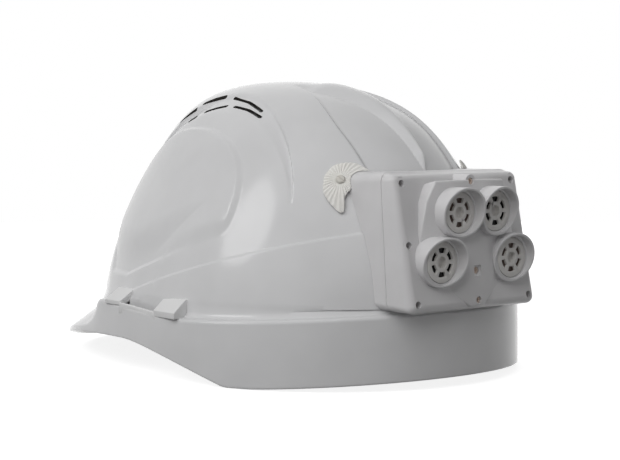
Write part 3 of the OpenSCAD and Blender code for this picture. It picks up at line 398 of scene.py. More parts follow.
# Height of the channels, crest, side valley, side lobe and waist over the bare dome
def reliefs(p):
    x, y, z = np.abs(p[..., 0]), p[..., 1], p[..., 2]
    rearPart = ramp(8, 26, y) * ramp(62, 100, z)
    half = channelHalf(y)
    channels = -dome["channelDepth"] * ramp(half + 0.9, half - 0.9, x) * rearPart
    crest = ((dome["channelDepth"] + dome["crestHeight"] * ramp(0, 34, y))
        * np.sin(np.pi / 2 * np.maximum(1 - x / crestHalf(y), 0)) * ramp(106, 98, y) * rearPart)
    outer = oval(p, (-6, 62.6), 82, 91)
    inner = oval(p, (-6, 62.6), 82, 83)
    across = (1 - outer) / np.maximum(inner - outer, 0.001)
    room = ramp(60, 88, z) * ramp(0.4, 3.2, (inner - outer) * 85)      # fades where the two ellipses meet
    valley = -dome["valleyDepth"] * ramp(-0.05, 0.2, across) * ramp(1.5, 0.25, across) * room
    edge = (1 - oval(p, (-19, 86.1), 57, 46, 2.2)) * 50
    low = z - lobeLine(y) - 1.6
    sunk = -1.2 * ramp(-3.4, 0, np.minimum(edge, low))
    proud = 1.7 * ramp(-3.4, 0, edge) * ramp(-3, 9, low)
    lobe = mix(sunk, proud, np.maximum(ramp(2, 24, low), ramp(-14, 24, y)))
    waist = 0.8 * ramp(0.7, -0.7, z - waistLine(y)) * ramp(-30, -18, y)
    return channels + crest + np.where(x >= 25, valley + lobe, 0) + waist

def domeAt(t, s, out=0.0):
    p = domeBare(t, s)
    return p + domeNormal(t, s) * (reliefs(p) + out)[..., None]

# Rim, gutter and peak: a few points per column, whose corners are then rounded
def planPoint(t, side, front, rear, square):
    c, n = np.cos(np.radians(t)), np.sin(np.radians(t))
    e = 2 / square
    x = np.where(n < 0, side * np.sign(c) * np.abs(c) ** e, side * c)
    y = np.where(n < 0, front * np.sign(n) * np.abs(n) ** e, rear * n)
    return np.stack([x, y], -1)

def rimPlan(t, inward):
    return planPoint(t, rimHalf - inward, rimFront - inward, rimRear - inward, 2.3)

def domePlan(t, outward):
    return planPoint(t, dome["halfWidth"] + outward, dome["front"] + outward, dome["rear"] + outward, 2)

def gutterHeight(y):
    rise = dome["gutterRise"] * powerOf((y - 30) / 95, 1.5)
    return dome["gutterHeight"] + np.where(y > 30, rise, (30 - y) * 0.062)

def rimHeight(y):
    front = 18.9 * (1 - powerOf((-20 - y) / (rimFront - 20), 2.1))
    middle = 18.9 * (1 - powerOf((y + 20) / 78, 1.6))
    rear = 4.8 * powerOf((y - 72) / (rimRear - 74), 1.2)
    return np.where(y < -20, front, np.where(y < 58, middle, np.where(y < 72, 0, rear)))

def lift(plan, z):
    height = np.broadcast_to(np.asarray(z, float)[..., None], plan.shape[:-1] + (1,))
    return np.concatenate([plan, height], -1)

# The inner wall's foot from the top down, then the outer one from the rim up
def footPoints(t):
    root, foot = 27.3, 39.3             # heights of the peak's root and of the dome's foot above it
    rim = rimPlan(t, 0)
    y = rim[..., 1]
    w = ramp(-42, -80, y)
    w1 = w[..., None]
    r, g = rimHeight(y), gutterHeight(y)
    wall = dome["wall"]
    plan0 = domePlan(t, 0)
    inside = [
        lift(plan0 * 0.994 - unit(plan0) * wall, mix(g + 3.5, foot, w)),
        mix(lift(domePlan(t, -wall + 0.4), g - wall + 0.2), lift(domePlan(t, -wall), root), w1),
        mix(lift(rimPlan(t, wall), g - wall - 0.8),
            lift(mix(rimPlan(t, wall), domePlan(t, 3), 0.85), mix(r, root - wall, 0.85)), w1),
        lift(rimPlan(t, wall), r)]
    outside = [
        lift(rim, r), lift(rim, r + 3),
        mix(lift(rim, mix(r, g, 0.55)), lift(mix(rim, domePlan(t, 6), 0.5), mix(r + 3, root, 0.5)), w1),
        mix(lift(rimPlan(t, 0.2), g - 1.2), lift(domePlan(t, 6), root), w1),
        mix(lift(rimPlan(t, 1.4), g), lift(domePlan(t, 2.6), 31.5), w1),
        mix(lift(domePlan(t, 0.9), g + 0.4), lift(domePlan(t, 0.6), 35.3), w1),
        lift(plan0 * 0.994, mix(g + 3.5, foot, w))]
    return inside, outside

# Points of one run per column, with each inner corner replaced by a short curve
def roundedRun(points, radii, steps=3):
    run = [points[0]]
    for k in range(1, len(points) - 1):
        p, a, b = points[k], points[k - 1], points[k + 1]
        toA, toB = a - p, b - p
        la = np.linalg.norm(toA, axis=-1, keepdims=True)
        lb = np.linalg.norm(toB, axis=-1, keepdims=True)
        da = np.minimum(radii[k], 0.45 * la)
        db = np.minimum(radii[k], 0.45 * lb)
        start, end = p + toA / np.maximum(la, 1e-9) * da, p + toB / np.maximum(lb, 1e-9) * db
        for i in range(steps + 1):
            u = i / steps
            run.append((1 - u) ** 2 * start + 2 * u * (1 - u) * p + u * u * end)
    run.append(points[-1])
    return run

def buildShell():
    columns, rows = dome["columns"], dome["rows"]
    lowest, highest = math.asin(0.05), math.pi / 2
    t = np.arange(columns + 1) * 360 / columns
    inside, outside = footPoints(t)
    run = [domeAt(t, np.full(t.shape, math.sin(a)), -dome["wall"])
        for a in np.linspace(highest, lowest, dome["insideRows"])]
    run += roundedRun(inside + outside, [0, 1.5, 1.2, 0.9, 0.9, 2, 4, 1.1, 1.1, 2.4, 0])
    table = np.array(run)                       # row, column, xyz
    first = len(run)
    total = first + rows
    bpy.ops.mesh.primitive_grid_add(x_subdivisions=columns, y_subdivisions=total - 1, size=1)
    shell = bpy.context.object
    bm = bmesh.new()
    bm.from_mesh(shell.data)
    for v in bm.verts:
        v.co = Vector(((v.co.x + 0.5) * columns, (v.co.y + 0.5) * (total - 1), 0))

    def shareOf(row):
        return np.minimum(np.sin(mix(lowest, highest, np.clip((row - first) / (rows - 1), 0, 1))), 1.0)

    for steep in dome["steep"]:
        bm.verts.ensure_lookup_table()
        flat = np.array([(v.co.x, v.co.y) for v in bm.verts])
        height = reliefs(domeBare(flat[:, 0] * 360 / columns, shareOf(flat[:, 1])))
        for i, v in enumerate(bm.verts):
            v.index = i
        marked = set()
        for f in bm.faces:
            if min(v.co.y for v in f.verts) < first + 1 or max(v.co.y for v in f.verts) > total - 3:
                continue
            hs = [height[v.index] for v in f.verts]
            if max(hs) - min(hs) > steep:
                marked.add(f)
        near = set(marked)
        for f in marked:
            for v in f.verts:
                near.update(g for g in v.link_faces if min(u.co.y for u in g.verts) >= first + 1)
        edges = [e for e in {e for f in near for e in f.edges} if not e.is_boundary]
        bmesh.ops.subdivide_edges(bm, edges=edges, cuts=1, use_grid_fill=True)
    bm.verts.ensure_lookup_table()
    col, row = np.array([(v.co.x, v.co.y) for v in bm.verts]).T
    share = shareOf(row)
    points = domeAt(col * 360 / columns, share)
    points = np.where((share > 0.99999)[:, None], domeAt(0 * col, 0 * share + 1), points)
    low = row < first - 0.5
    points[low] = table[np.round(row[low]).astype(int), np.round(col[low]).astype(int) % columns]
    for v, point in zip(bm.verts, points * mm):
        v.co = Vector(point)
    bmesh.ops.remove_doubles(bm, verts=bm.verts, dist=2e-6)
    if bm.calc_volume(signed=True) < 0:
        bmesh.ops.reverse_faces(bm, faces=bm.faces)
    opens = sum(1 for e in bm.edges if not e.is_manifold)
    print("shell skin:", len(bm.faces), "faces,", opens, "open edges")
    bm.to_mesh(shell.data)
    bm.free()
    shell.data.update()
    return shell

# Place on the rear half of the dome: local z runs out along its normal
def onDome(x, z):
    s = heightShare(np.array(float(z)))
    t = np.degrees(np.arccos(abs(x) / halfWidthAt(s)))
    return turnedTo(domeBare(t, s), domeNormal(t, s), x < 0)

def turnedTo(point, normal, mirrored=False):
    tilt = math.acos(normal[2])
    heading = math.atan2(normal[1], normal[0])
    turn = Matrix.Rotation(heading, 4, "Z") @ Matrix.Rotation(tilt, 4, "Y")
    m = Matrix.Translation(Vector(point) * mm) @ turn
    return mirrorX @ m if mirrored else m

def outward(o):
    enterEdit(o)
    bpy.ops.mesh.normals_make_consistent(inside=False)
    leaveEdit()
    return o

def twoSides(make):
    left, right = make(), make()
    right.data.transform(mirrorX)
    return [outward(left), outward(right)]

rivetAt, lowScrewAt = (46.6, 106.2), (18, 48.5)        # x and z of the pads' rivets and the tray's low screws
shellCuts = {
    "ventWidths": (2.9, 2.2),
    "vents": [[[47.4, -54.2, 137.8], [46.3, -41.8, 145]], [[44.3, -35.8, 148.4], [42, -19.1, 152.3]],
        [[42.7, -9.9, 152.2], [45.3, 6.3, 149.9], [48.8, 22, 144.9]],
        [[54, -37.5, 138.3], [53.7, -31.9, 140.6]], [[52.3, -24.6, 143.9], [50.2, -8.5, 147.2]],
        [[50.3, 0, 146.9], [50.9, 13.3, 144.9], [52.1, 25.3, 141]]],
    "slotMiddle": -5.5, "slotLength": 32, "slotWidth": 5, "slotLip": 2.1,
    "holes": ((rivetAt, 1.9), (lowScrewAt, 1.8)),
}
slotFront = shellCuts["slotMiddle"] - shellCuts["slotLength"] / 2
slotRear = shellCuts["slotMiddle"] + shellCuts["slotLength"] / 2
slotOuter = rimHalf - shellCuts["slotLip"]
slotInner = slotOuter - shellCuts["slotWidth"]

# Shell and cutters share two materials, so the walls that the cutters leave take the vent walls' painted shade
def giveShellMaterials(o, index):
    for material in (polishedAbs, ventPaintedShade):
        o.data.materials.append(material)
    for face in o.data.polygons:
        face.material_index = index

def ventCutter(a, b, width):
    a, b = np.array(a, float), np.array(b, float)
    middle = (a + b) / 2
    s = heightShare(middle[2])
    t = np.degrees(np.arctan2((middle[1] - shiftAt(s)) / dome["rear"], middle[0] / dome["halfWidth"]))
    n = domeNormal(t, np.array(s))
    m = turnedTo(middle, n)
    local = m.to_3x3().transposed() @ Vector(b - a)
    turn = math.atan2(local[1], local[0])
    half, r = np.linalg.norm(b - a) / 2, width / 2
    outline = [(half + r * math.cos(u), r * math.sin(u)) for u in np.radians(np.linspace(-90, 90, 9))]
    outline += [(-x, -y) for x, y in outline]
    o = loft("vent_cutter", [[(x, y, z) for x, y in outline] for z in (-9, 9)])
    # Slot 1 on the cutter: the painted shade of the vent walls
    giveShellMaterials(o, 1)
    o.data.transform(m @ Matrix.Rotation(turn, 4, "Z"))
    return o

def blockBetween(name, low, high):
    deselectAll()
    bpy.ops.mesh.primitive_cube_add(size=1, location=[(a + b) / 2 * mm for a, b in zip(low, high)],
        scale=[(b - a) * mm for a, b in zip(low, high)])
    o = bpy.context.object
    o.name = name
    applyPlace(o)
    return o

def cutShell(shell):
    first, second = [], []
    for vent in shellCuts["vents"]:
        width = shellCuts["ventWidths"][len(vent) - 2]
        first += twoSides(lambda: ventCutter(vent[0], vent[1], width))
        if len(vent) == 3:
            second += twoSides(lambda: ventCutter(vent[1], vent[2], width))
    low, high = (slotInner, slotFront, 26), (slotOuter, slotRear, 56)
    first += twoSides(lambda: blockBetween("slot_cutter", low, high))
    for (x, z), r in shellCuts["holes"]:
        for side in (-1, 1):
            first.append(outward(roundBar("hole_cutter", r, -10, 10, onDome(side * x, z), 24)))
    combine(shell, "DIFFERENCE", first)
    combine(shell, "DIFFERENCE", second)

def sideX(y, z):
    s = heightShare(z)
    return halfWidthAt(s) * math.sqrt(1 - ((y - shiftAt(s)) / lengthAt(s, y < 0)) ** 2)

wedgeShapes = {"front": (slotFront - 15, 15, 7.6, 1.6), "rear": (slotRear, 19, 9, 2.4), "round": 0.4}

def wedgeBlock(start, length, highIn, highOut):
    x = sideX(start + length / 2, dome["gutterHeight"] + 8) - 2
    z = float(gutterHeight(np.array(start + length / 2))) - 1
    w = rimHalf - 0.7 - x
    outline = [(0, 0), (w, 0), (w, highOut + 1), (2.5, highIn + 1), (0, highIn + 1)]
    o = loft("wedge", [[(x + px, y, z + pz) for px, pz in outline] for y in (start, start + length)])
    return bevelled(o, wedgeShapes["round"], 4, 20)

def railBlock():
    front, rear = slotFront - 1, slotRear + 1
    z = dome["gutterHeight"] - 2
    outline = [(rear, z), (front, z), (front, z + 6.6), (rear, z + 4.2)]
    o = loft("rail", [[(x, py, pz) for py, pz in outline] for x in (slotOuter, rimHalf - 0.5)])
    return bevelled(o, 0.6, 3)

# Sockets inside the shell, each with a slot for a clip's tongue that is open below
clipAngle, clipRadius = 40, 108.3

def socketBlock(angle):
    c, n = math.cos(math.radians(angle)), math.sin(math.radians(angle))
    outline = [(clipRadius - 2.8, -13), (clipRadius - 2.8, 13)]
    for v in np.linspace(13, -13, 7):
        a, b = dome["halfWidth"] - 1.4, dome["rear"] - 1.4
        u = np.linspace(100, 125, 2001)
        inside = ((u * c - v * n) / a) ** 2 + ((u * n + v * c) / b) ** 2
        outline.append((float(u[np.argmin(abs(inside - 1))]), v))
    o = loft("socket", [[(u * c - v * n, u * n + v * c, z) for u, v in outline] for z in (20, 40)])
    cutter = blockBetween("socket_cutter", (clipRadius - 0.3, -10.3, 18), (clipRadius + 2.3, 10.3, 36))
    cutter.data.transform(Matrix.Rotation(math.radians(angle), 4, "Z"))
    return combine(o, "DIFFERENCE", [cutter])

shell = buildShell()
giveShellMaterials(shell, 0)
cutShell(shell)
wedges = []
for end in ("front", "rear"):
    wedges += twoSides(lambda: wedgeBlock(*wedgeShapes[end]))
rails = twoSides(railBlock)
sockets = [socketBlock(a) for a in (clipAngle, 180 - clipAngle, 180 + clipAngle, 360 - clipAngle)]
joined([shell] + wedges + rails + sockets)
finishPiece(shell, "shell_skin", "helmet", None, ["shell"], 40)
shell.data.calc_loop_triangles()
print("shell done:", len(shell.data.loop_triangles), "triangles")

# Box: the face's frame has x along it, y out of it and z up it
boxSizes = {
    "faceY": 133.48, "faceZ": 75.3, "faceTilt": 12.4, "faceLow": -34.6, "faceHigh": 37.4, "edge": 4,
    "halfWidth": 46, "lowHalf": 49, "low": 42, "high": 112, "wall": 2.2,
    "seamY": 121.48, "seamZ": 72.6, "seamTilt": 5.3, "midY": 117.98, "backY": 83.98,
    "plinthRound": 4.6, "seamRound": 0.35,
}
# Screws of the face: x, z, y at the face, depth of the recess, and y where the tray's post ends
screwPlaces = [[-40.3, 106.6, 126.6, 5, 118], [40.3, 106.6, 126.6, 5, 118], [-41.3, 75.3, 133.5, 1.5, 121.2],
    [41.3, 75.3, 133.5, 5, 121.2], [-40.7, 45.7, 140.1, 5, 129], [40.7, 45.7, 140.1, 5, 129],
    [0, 107.1, 136.9, 1.5, 118], [0, 61, 141.4, 1.5, 133.4], [0, 45.7, 142.8, 1.5, 135]]
# Upper and lower hood of the left side: x, z, and y where it starts
hoodPlaces = [[13.2, 91.5, 127.5], [25.6, 66.5, 130.8]]
# Each hood's lip: its middle, its rise towards the top and its rise towards the outside
hoodLips = [{1: (145.6, 2.6, -2.2), -1: (145.6, 2.6, 0.4)}, {1: (144.7, 3, -3.4), -1: (143.9, 2.2, 2.2)}]
sounderFace = 141.6

def facePoint(x, y, z):
    a = math.radians(boxSizes["faceTilt"])
    return (x, boxSizes["faceY"] + y * math.cos(a) - z * math.sin(a),
        boxSizes["faceZ"] + y * math.sin(a) + z * math.cos(a))

# Outline (x, z) with rounded corners, from the lower right corner round
def roundedOutline(lowHalf, highHalf, low, high, lowR, highR, steps=7):
    corners = [(lowHalf - lowR, low + lowR, lowR, -90), (highHalf - highR, high - highR, highR, 0),
        (highR - highHalf, high - highR, highR, 90), (lowR - lowHalf, low + lowR, lowR, 180)]
    points = []
    for x, z, r, start in corners:
        for a in np.radians(start + 90 * np.arange(steps + 1) / steps):
            points.append((x + r * math.cos(a), z + r * math.sin(a)))
    return points

def crossOutline(y, half, r, inside):
    b = boxSizes
    return [(x, y, z) for x, z in roundedOutline(b["lowHalf"] - inside, half - inside, b["low"] + inside,
        b["high"] - inside, b["edge"] - min(inside, 3), r - inside)]

def midOutline(inside=0):
    return crossOutline(boxSizes["midY"], boxSizes["halfWidth"] + 0.8, boxSizes["edge"] + 1, inside)

def backOutline(inside=0):
    return crossOutline(boxSizes["backY"], boxSizes["halfWidth"] - 1.2, boxSizes["edge"] + 4, inside)

def faceRings(inside=0, steps=7):
    b = boxSizes
    r = b["edge"] - 0.6 * inside
    flat = b["halfWidth"] - b["edge"]
    rings = []
    for k in range(steps + 1):
        a = math.radians(90 * k / steps)
        corner = max(r * math.cos(a), 0.15)
        outline = roundedOutline(flat + corner, flat + corner, b["faceLow"] + b["edge"] - corner,
            b["faceHigh"] - b["edge"] + corner, corner, corner)
        rings.append([facePoint(x, -b["edge"] - inside + r * math.sin(a), z) for x, z in outline])
    return rings

# Where the straight walls from the middle to the face cross a plane along the seam
def seamRing(gap, shrink=0.0):
    a = math.radians(boxSizes["seamTilt"])
    ring = []
    for p, q in zip(np.array(midOutline()), np.array(faceRings()[0])):
        side = [(v[1] - boxSizes["seamY"]) * math.cos(a) + (v[2] - boxSizes["seamZ"]) * math.sin(a) - gap
            for v in (p, q)]
        u = side[0] / (side[0] - side[1])
        point = p + (q - p) * u
        centre = np.array([0, point[1], 77])
        ring.append(point + (centre - point) / np.linalg.norm(centre - point) * shrink)
    return ring

# Raised middle of the face: x, z and y of its corners in the face's frame
plinthPoints = [[24.5, 31.5, 9], [24.5, 26.9, 8], [30, 22, 6.3], [33.6, 4.3, 1.5], [33.6, -4, -1],
    [20, -22, -1], [8, -24, 1.5], [1.5, -33, 2.3], [4, -34, 1.6], [1.7, -1, 7], [5.3, -10.5, 5.6],
    [7, -22.5, 4], [10, 31.5, 9.9], [10, 27, 9]]

def plinthBlock():
    points = [Vector(facePoint(side * (x + 0.4), y - deep, z)) * mm
        for x, z, y in plinthPoints for side in (-1, 1) for deep in (0, 9)]
    o = bpy.data.objects.new("plinth", bpy.data.meshes.new("plinth"))
    o.data.from_pydata(points, [], [])
    bpy.context.scene.collection.objects.link(o)
    enterEdit(o)
    bpy.ops.mesh.convex_hull()
    bpy.ops.mesh.select_all(action="SELECT")
    bpy.ops.mesh.dissolve_limited(angle_limit=math.radians(3))
    bpy.ops.mesh.normals_make_consistent(inside=False)
    leaveEdit()
    return bevelled(o, boxSizes["plinthRound"], 6, 28)

def alongY(x, z):
    return Matrix.Translation((x * mm, 0, z * mm)) @ Matrix.Rotation(-math.pi / 2, 4, "X")

def buildCover():
    r = boxSizes["seamRound"]
    rings = [seamRing(0, r), seamRing(0.3 * r, 0.3 * r), seamRing(r, 0)] + faceRings()
    cover = loft("cover", rings)
    combine(cover, "UNION", [plinthBlock()])
    combine(cover, "DIFFERENCE", [loft("cover_inside", [midOutline(2.2)] + faceRings(2.2, 4))])
    posts = [roundBar("post", 3.5, s[4] + 0.4, s[2] - 1.1, alongY(s[0], s[1]), 32) for s in screwPlaces]
    combine(cover, "UNION", posts)
    cuts = [roundBar("bore", 13.05, 100, 180, alongY(side * h[0], h[1]), 96)
        for h in hoodPlaces for side in (-1, 1)]
    cuts += [roundBar("head_hole", 1.9, s[2] - s[3] - 1.3, s[2] + 15, alongY(s[0], s[1]), 32)
        for s in screwPlaces]
    combine(cover, "DIFFERENCE", cuts)
    shafts = [roundBar("shaft_hole", 1.1, 110, s[2] - 2, alongY(s[0], s[1]), 24) for s in screwPlaces]
    combine(cover, "DIFFERENCE", shafts)
    pocket = blockBetween("pocket_cutter", (-2.7, -0.8, -2.7), (2.7, 3, 2.7))
    lean = Matrix.Rotation(math.radians(8), 4, "X")
    pocket.data.transform(Matrix.Translation((0, 141.2 * mm, 61 * mm)) @ lean)
    combine(cover, "DIFFERENCE", [bevelled(pocket, 0.4, 2)])
    return cover

cover = buildCover()
finishPiece(cover, "cover_moulding", "helmet", satinAbs, ["box_cover"], 32)

def overDome(t, s, out):
    p = domeBare(t, s)
    waist = 0.8 * ramp(0.7, -0.7, p[..., 2] - waistLine(p[..., 1]))
    return p + domeNormal(t, s) * (waist + out)[..., None]

# The rear of the dome as a block, grown by a distance, to cut the box to its curve
def domePatch(out, columns=48, rows=42):
    deselectAll()
    bpy.ops.mesh.primitive_grid_add(x_subdivisions=columns, y_subdivisions=rows, size=1)
    o = bpy.context.object
    flat = np.array([v.co for v in o.data.vertices])
    t = 90 + flat[:, 0] * 104
    points = overDome(t, heightShare(78 + flat[:, 1] * 84), np.full(len(t), float(out)))
    for v, point in zip(o.data.vertices, points):
        v.co = Vector(point) * mm
    bpy.ops.object.mode_set(mode="EDIT")
    bpy.ops.mesh.select_all(action="SELECT")
    bpy.ops.mesh.extrude_region_move()
    bm = bmesh.from_edit_mesh(o.data)
    for v in bm.verts:
        if v.select:
            v.co.y = 0.05
    bmesh.update_edit_mesh(o.data)
    leaveEdit()
    return outward(o)

def between(start, end, count):
    return [[tuple(np.array(p) * (1 - k / count) + np.array(q) * k / count) for p, q in zip(start, end)]
        for k in range(count)]

def rightWall(y, z):
    return Matrix.Translation((-49 * mm, y * mm, z * mm)) @ Matrix.Rotation(-math.pi / 2, 4, "Y")

def buildTray():
    r = boxSizes["seamRound"]
    back, middle, edge = backOutline(), midOutline(), seamRing(-0.1 - r)
    rings = between(back, middle, 6) + between(middle, edge, 3)
    tray = loft("tray", rings + [edge, seamRing(-0.1 - 0.3 * r, 0.3 * r), seamRing(-0.1, r)])
    inner = midOutline(2.2)
    room = loft("tray_inside", [backOutline(2.2), inner, [(x, y + 20, z) for x, y, z in inner]])
    combine(room, "DIFFERENCE", [domePatch(2.6)])
    combine(tray, "DIFFERENCE", [room])
    posts = [roundBar("post", 3.5, 86, s[4], alongY(s[0], s[1]), 32) for s in screwPlaces]
    posts += [roundBar("post", 2.5, 86, end, alongY(x, z), 24)
        for x, z, end in ((-22, 91, 125.1), (22, 91, 125.1), (36, 86, 117.9), (36, 93, 117.9))]
    posts.append(blockBetween("switch_wall", (-38.1, 86, 85), (-36.1, 116, 91)))
    ears, holes = [], []
    for side in (-1, 1):
        high, low = onDome(side * rivetAt[0], rivetAt[1]), onDome(side * lowScrewAt[0], lowScrewAt[1])
        ears.append(outward(bevelled(roundBar("ear", 7.5, 0.4, 1.6, high, 64), 0.3, 3)))
        posts.append(outward(roundBar("boss", 3.5, 1, 5.6, low, 32)))
        holes.append(outward(roundBar("rivet_hole", 1.9, -10, 10, high, 32)))
        holes.append(outward(roundBar("screw_hole", 1.5, 0, 4.6, low, 32)))
    combine(tray, "UNION", posts)
    combine(tray, "UNION", ears)
    combine(tray, "DIFFERENCE", [domePatch(0.4)])
    holes.append(roundBar("button_hole", 4.6, -10, 10, rightWall(114.5, 88), 48))
    socketHole = bevelled(blockBetween("socket_hole", (-4.7, -1.8, -10), (4.7, 1.8, 10)), 1.75, 8, 60)
    socketHole.data.transform(rightWall(118.8, 62))
    combine(tray, "DIFFERENCE", holes + [socketHole])
    return tray

tray = buildTray()
finishPiece(tray, "tray_moulding", "helmet", satinAbs, ["box_tray"], 32)
print("box done")

# Hoods: rings run up the outside, over the rounded lip, down the bore and back to the start
hoodSizes = {"radius": 13, "bore": 10.75, "seat": 8, "mouth": 11.7, "lip": 0.5, "sides": 96, "sounderLength": 8.5}

def buildHood(place, lipPlace, side):
    x, z, start = place
    lipY, slope, sway = lipPlace
    r = hoodSizes["radius"]
    angles = np.radians(np.arange(hoodSizes["sides"]) * 360 / hoodSizes["sides"])

    def ring(radius, y, tilted):
        points = []
        for a in angles:
            dx, dz = math.cos(a), math.sin(a)
            rise = (side * sway * dx + slope * dz) * radius / r        # of the slanted lip
            depth = y + rise if tilted else min(y, lipY + rise - 0.1)
            points.append((side * x + radius * dx, depth, z + radius * dz))
        return points

    lip, bore, mouth = hoodSizes["lip"], hoodSizes["bore"], hoodSizes["mouth"]
    rings = [ring(r, start, False), ring(r, start + 3, False), ring(r, lipY - lip, True)]
    for k in range(1, 6):
        a = math.radians(90 * k / 5)
        rings.append(ring(r - lip * (1 - math.cos(a)), lipY - lip * (1 - math.sin(a)), True))
    for radius, y in ((mouth + 0.25, lipY), (mouth + 0.07, lipY - 0.08), (mouth, lipY - 0.3)):
        rings.append(ring(radius, y, True))
    seat, seatY, face = hoodSizes["seat"], sounderFace - hoodSizes["sounderLength"], sounderFace
    for radius, y in ((mouth, face + 0.4), (mouth - 0.12, face + 0.12), (mouth - 0.4, face), (bore + 0.1, face),
            (bore, face - 0.1), (bore, seatY), (seat, seatY), (seat, start), (r, start)):
        rings.append(ring(radius, y, False))
    return loft("hood", rings, closed=True)

for k, height in enumerate(("upper", "lower")):
    for side, name in ((1, "left"), (-1, "right")):
        corner = height + "_" + name
        hood = buildHood(hoodPlaces[k], hoodLips[k][side], side)
        finishPiece(hood, corner + "_horn", "helmet", satinAbs, [corner + "_hood"], 32)
        # Black behind the slots of the lower left and upper right capsules, brown behind the others
        deepColour = "191817" if (side > 0) == (k > 0) else "7C7069"
        plastic = sounderPlastic(height + name.title() + "Sounder", side * hoodPlaces[k][0], hoodPlaces[k][1],
            sounderFace - 1.4, deepColour)
        sounder = bevelled(mergedCopy(corner + "_sounder"), 0.22, 2)
        finishPiece(sounder, corner + "_grille", "helmet", plastic, [corner + "_sounder"], 32)
print("hoods done")

# Pleated felt pads: a fan of folds that hugs the box's corner, held by a rivet
padShape = {
    "pleats": 30, "high": 1.3, "under": 1.9, "turn": 90, "fold": 0.26,
    # degrees round the rivet, and the reach there
    "outline": [[0, 10], [12, 15.5], [20, 16.4], [34, 14.8], [70, 11.2], [106, 9.8], [142, 8.8], [185, 8.9],
        [215, 10.6], [234, 12.2], [259, 15.4], [272, 18.2], [278, 17.6], [284, 10], [300, 8], [330, 7], [360, 10]],
}

def padRing(share, top):
    angles, radii = zip(*padShape["outline"])
    points = []
    for i in range(padShape["pleats"] * 8):
        a = i * 360 / (padShape["pleats"] * 8)
        r = max(share * np.interp(a, angles, radii), 1.75)
        sag = -r * r / 210 * (0.6 + 0.4 * float(ramp(9, 15, r)))
        fold = 1 - 2 * abs((a * padShape["pleats"] / 360) % 1 - 0.5) * 2      # one ridge for each pleat
        high = padShape["high"] * (1 - 0.55 * share ** 6) + padShape["fold"] * (0.15 + 0.85 * share) * fold
        wave = 1 + 0.012 * math.sin(math.radians(a * 7)) * share
        z = padShape["under"] + sag + (max(high, 0.35) if top else 0.12 * fold)
        points.append((r * wave * math.cos(math.radians(a)), r * wave * math.sin(math.radians(a)), z))
    return points

def boxHull(outset):
    return loft("box_hull", [backOutline(-outset), midOutline(-outset)])

def buildPad(side):
    shares = [0.1, 0.2, 0.32, 0.44, 0.56, 0.68, 0.8, 0.9, 0.96, 1]
    rings = [padRing(s, True) for s in shares] + [padRing(s, False) for s in (1, 0.7, 0.4, 0.1)]
    pad = loft("pad", rings + [rings[0]], closed=True)
    pad.data.transform(onDome(*rivetAt) @ Matrix.Rotation(math.radians(padShape["turn"]), 4, "Z"))
    if side < 0:
        pad.data.transform(mirrorX)
    outward(pad)
    return combine(pad, "DIFFERENCE", [boxHull(0.3)])

for side, name in ((1, "left"), (-1, "right")):
    pad = buildPad(side)
    finishPiece(pad, name + "_pleated_fan", "helmet", pressedFelt, [name + "_pad"], 50)
print("pads done")

# Straps: a grid bent to its curve keeps its UV map, and is then given its thickness
strapSizes = {"radius": 103, "foot": 44, "low": 26.5, "width": 20, "thick": 1.2, "along": 120, "across": 6}

def strapCurve(top, inset):
    b = strapSizes
    h = top - b["foot"] - inset
    r = b["radius"] - inset
    u = np.radians(np.linspace(0, 180, 361))
    x = r * np.cos(u) * (1 - 0.028 * np.sin(2 * u) ** 2)
    points = np.stack([x, b["foot"] + h * np.sin(u)], -1)
    points = np.concatenate([[[x[0], b["low"]]], points, [[x[-1], b["low"]]]])
    steps = np.concatenate([[0], np.cumsum(np.linalg.norm(np.diff(points, axis=0), axis=1))])
    return points, steps

def buildStrap(angle, top):
    b = strapSizes
    points, steps = strapCurve(top, b["thick"] / 2)
    deselectAll()
    bpy.ops.mesh.primitive_grid_add(x_subdivisions=b["along"], y_subdivisions=b["across"], size=1,
        calc_uvs=True)
    o = bpy.context.object
    for v in o.data.vertices:
        at = (v.co.x + 0.5) * steps[-1]
        x, z = np.interp(at, steps, points[:, 0]), np.interp(at, steps, points[:, 1])
        v.co = Vector((x, v.co.y * (b["width"] - 0.2), z)) * mm
    for loop in o.data.uv_layers[0].data:
        loop.uv = (loop.uv[0] * steps[-1] / 100, loop.uv[1] * b["width"] / 100)
    o.data.transform(Matrix.Rotation(math.radians(angle), 4, "Z"))
    applyModifier(o, "SOLIDIFY", thickness=(b["thick"] - 0.05) * mm, offset=0)
    outward(o)
    return bevelled(o, 0.3, 2, 50)

cradleTop = 130
for end, angle, top in (("_a", clipAngle, cradleTop), ("_b", 180 - clipAngle, cradleTop - 2.1)):
    strap = buildStrap(angle, top)
    finishPiece(strap, "webbing_strap" + end, "helmet", wovenPolyester, ["crown_strap" + end], 60)

# Padded pieces: rings of a plump section, pinched along two lines of stitching
padSizes = {"bandRadius": 77.5, "bandReach": 112, "bandThick": 1.6, "houseWall": 2.2}
bandY, bandZ = 18, 29                   # middle of the headband's circle, and of its height

def plumpSection(low, high, thick, pinch=0.9, sides=40):
    section = []
    for i in range(sides):
        a = 2 * math.pi * i / sides
        across, up = math.cos(a), math.sin(a)
        across = math.copysign(abs(across) ** 0.75, across)
        up = math.copysign(abs(up) ** 0.45, up)
        z = (low + high) / 2 + up * (high - low) / 2
        stitch = min(abs(z - low - 3.2), abs(high - 3.2 - z))
        inward = thick / 2 - across * thick / 2
        if across < 0:
            inward -= pinch * math.exp(-(stitch / 0.7) ** 2)
        section.append((inward, z))
    return section

# The section along an arc: at the ends its thickness eases in from a share of the whole
def cushion(name, angles, section, least, ease, place):
    rings = []
    for u in angles:
        fill = math.sqrt(min(1, least + min(u - angles[0], angles[-1] - u) / ease))
        tall = 0.9 + 0.1 * fill
        rings.append([place(u, inward, fill) + (bandZ + (z - bandZ) * tall,) for inward, z in section])
    return loft(name, rings)

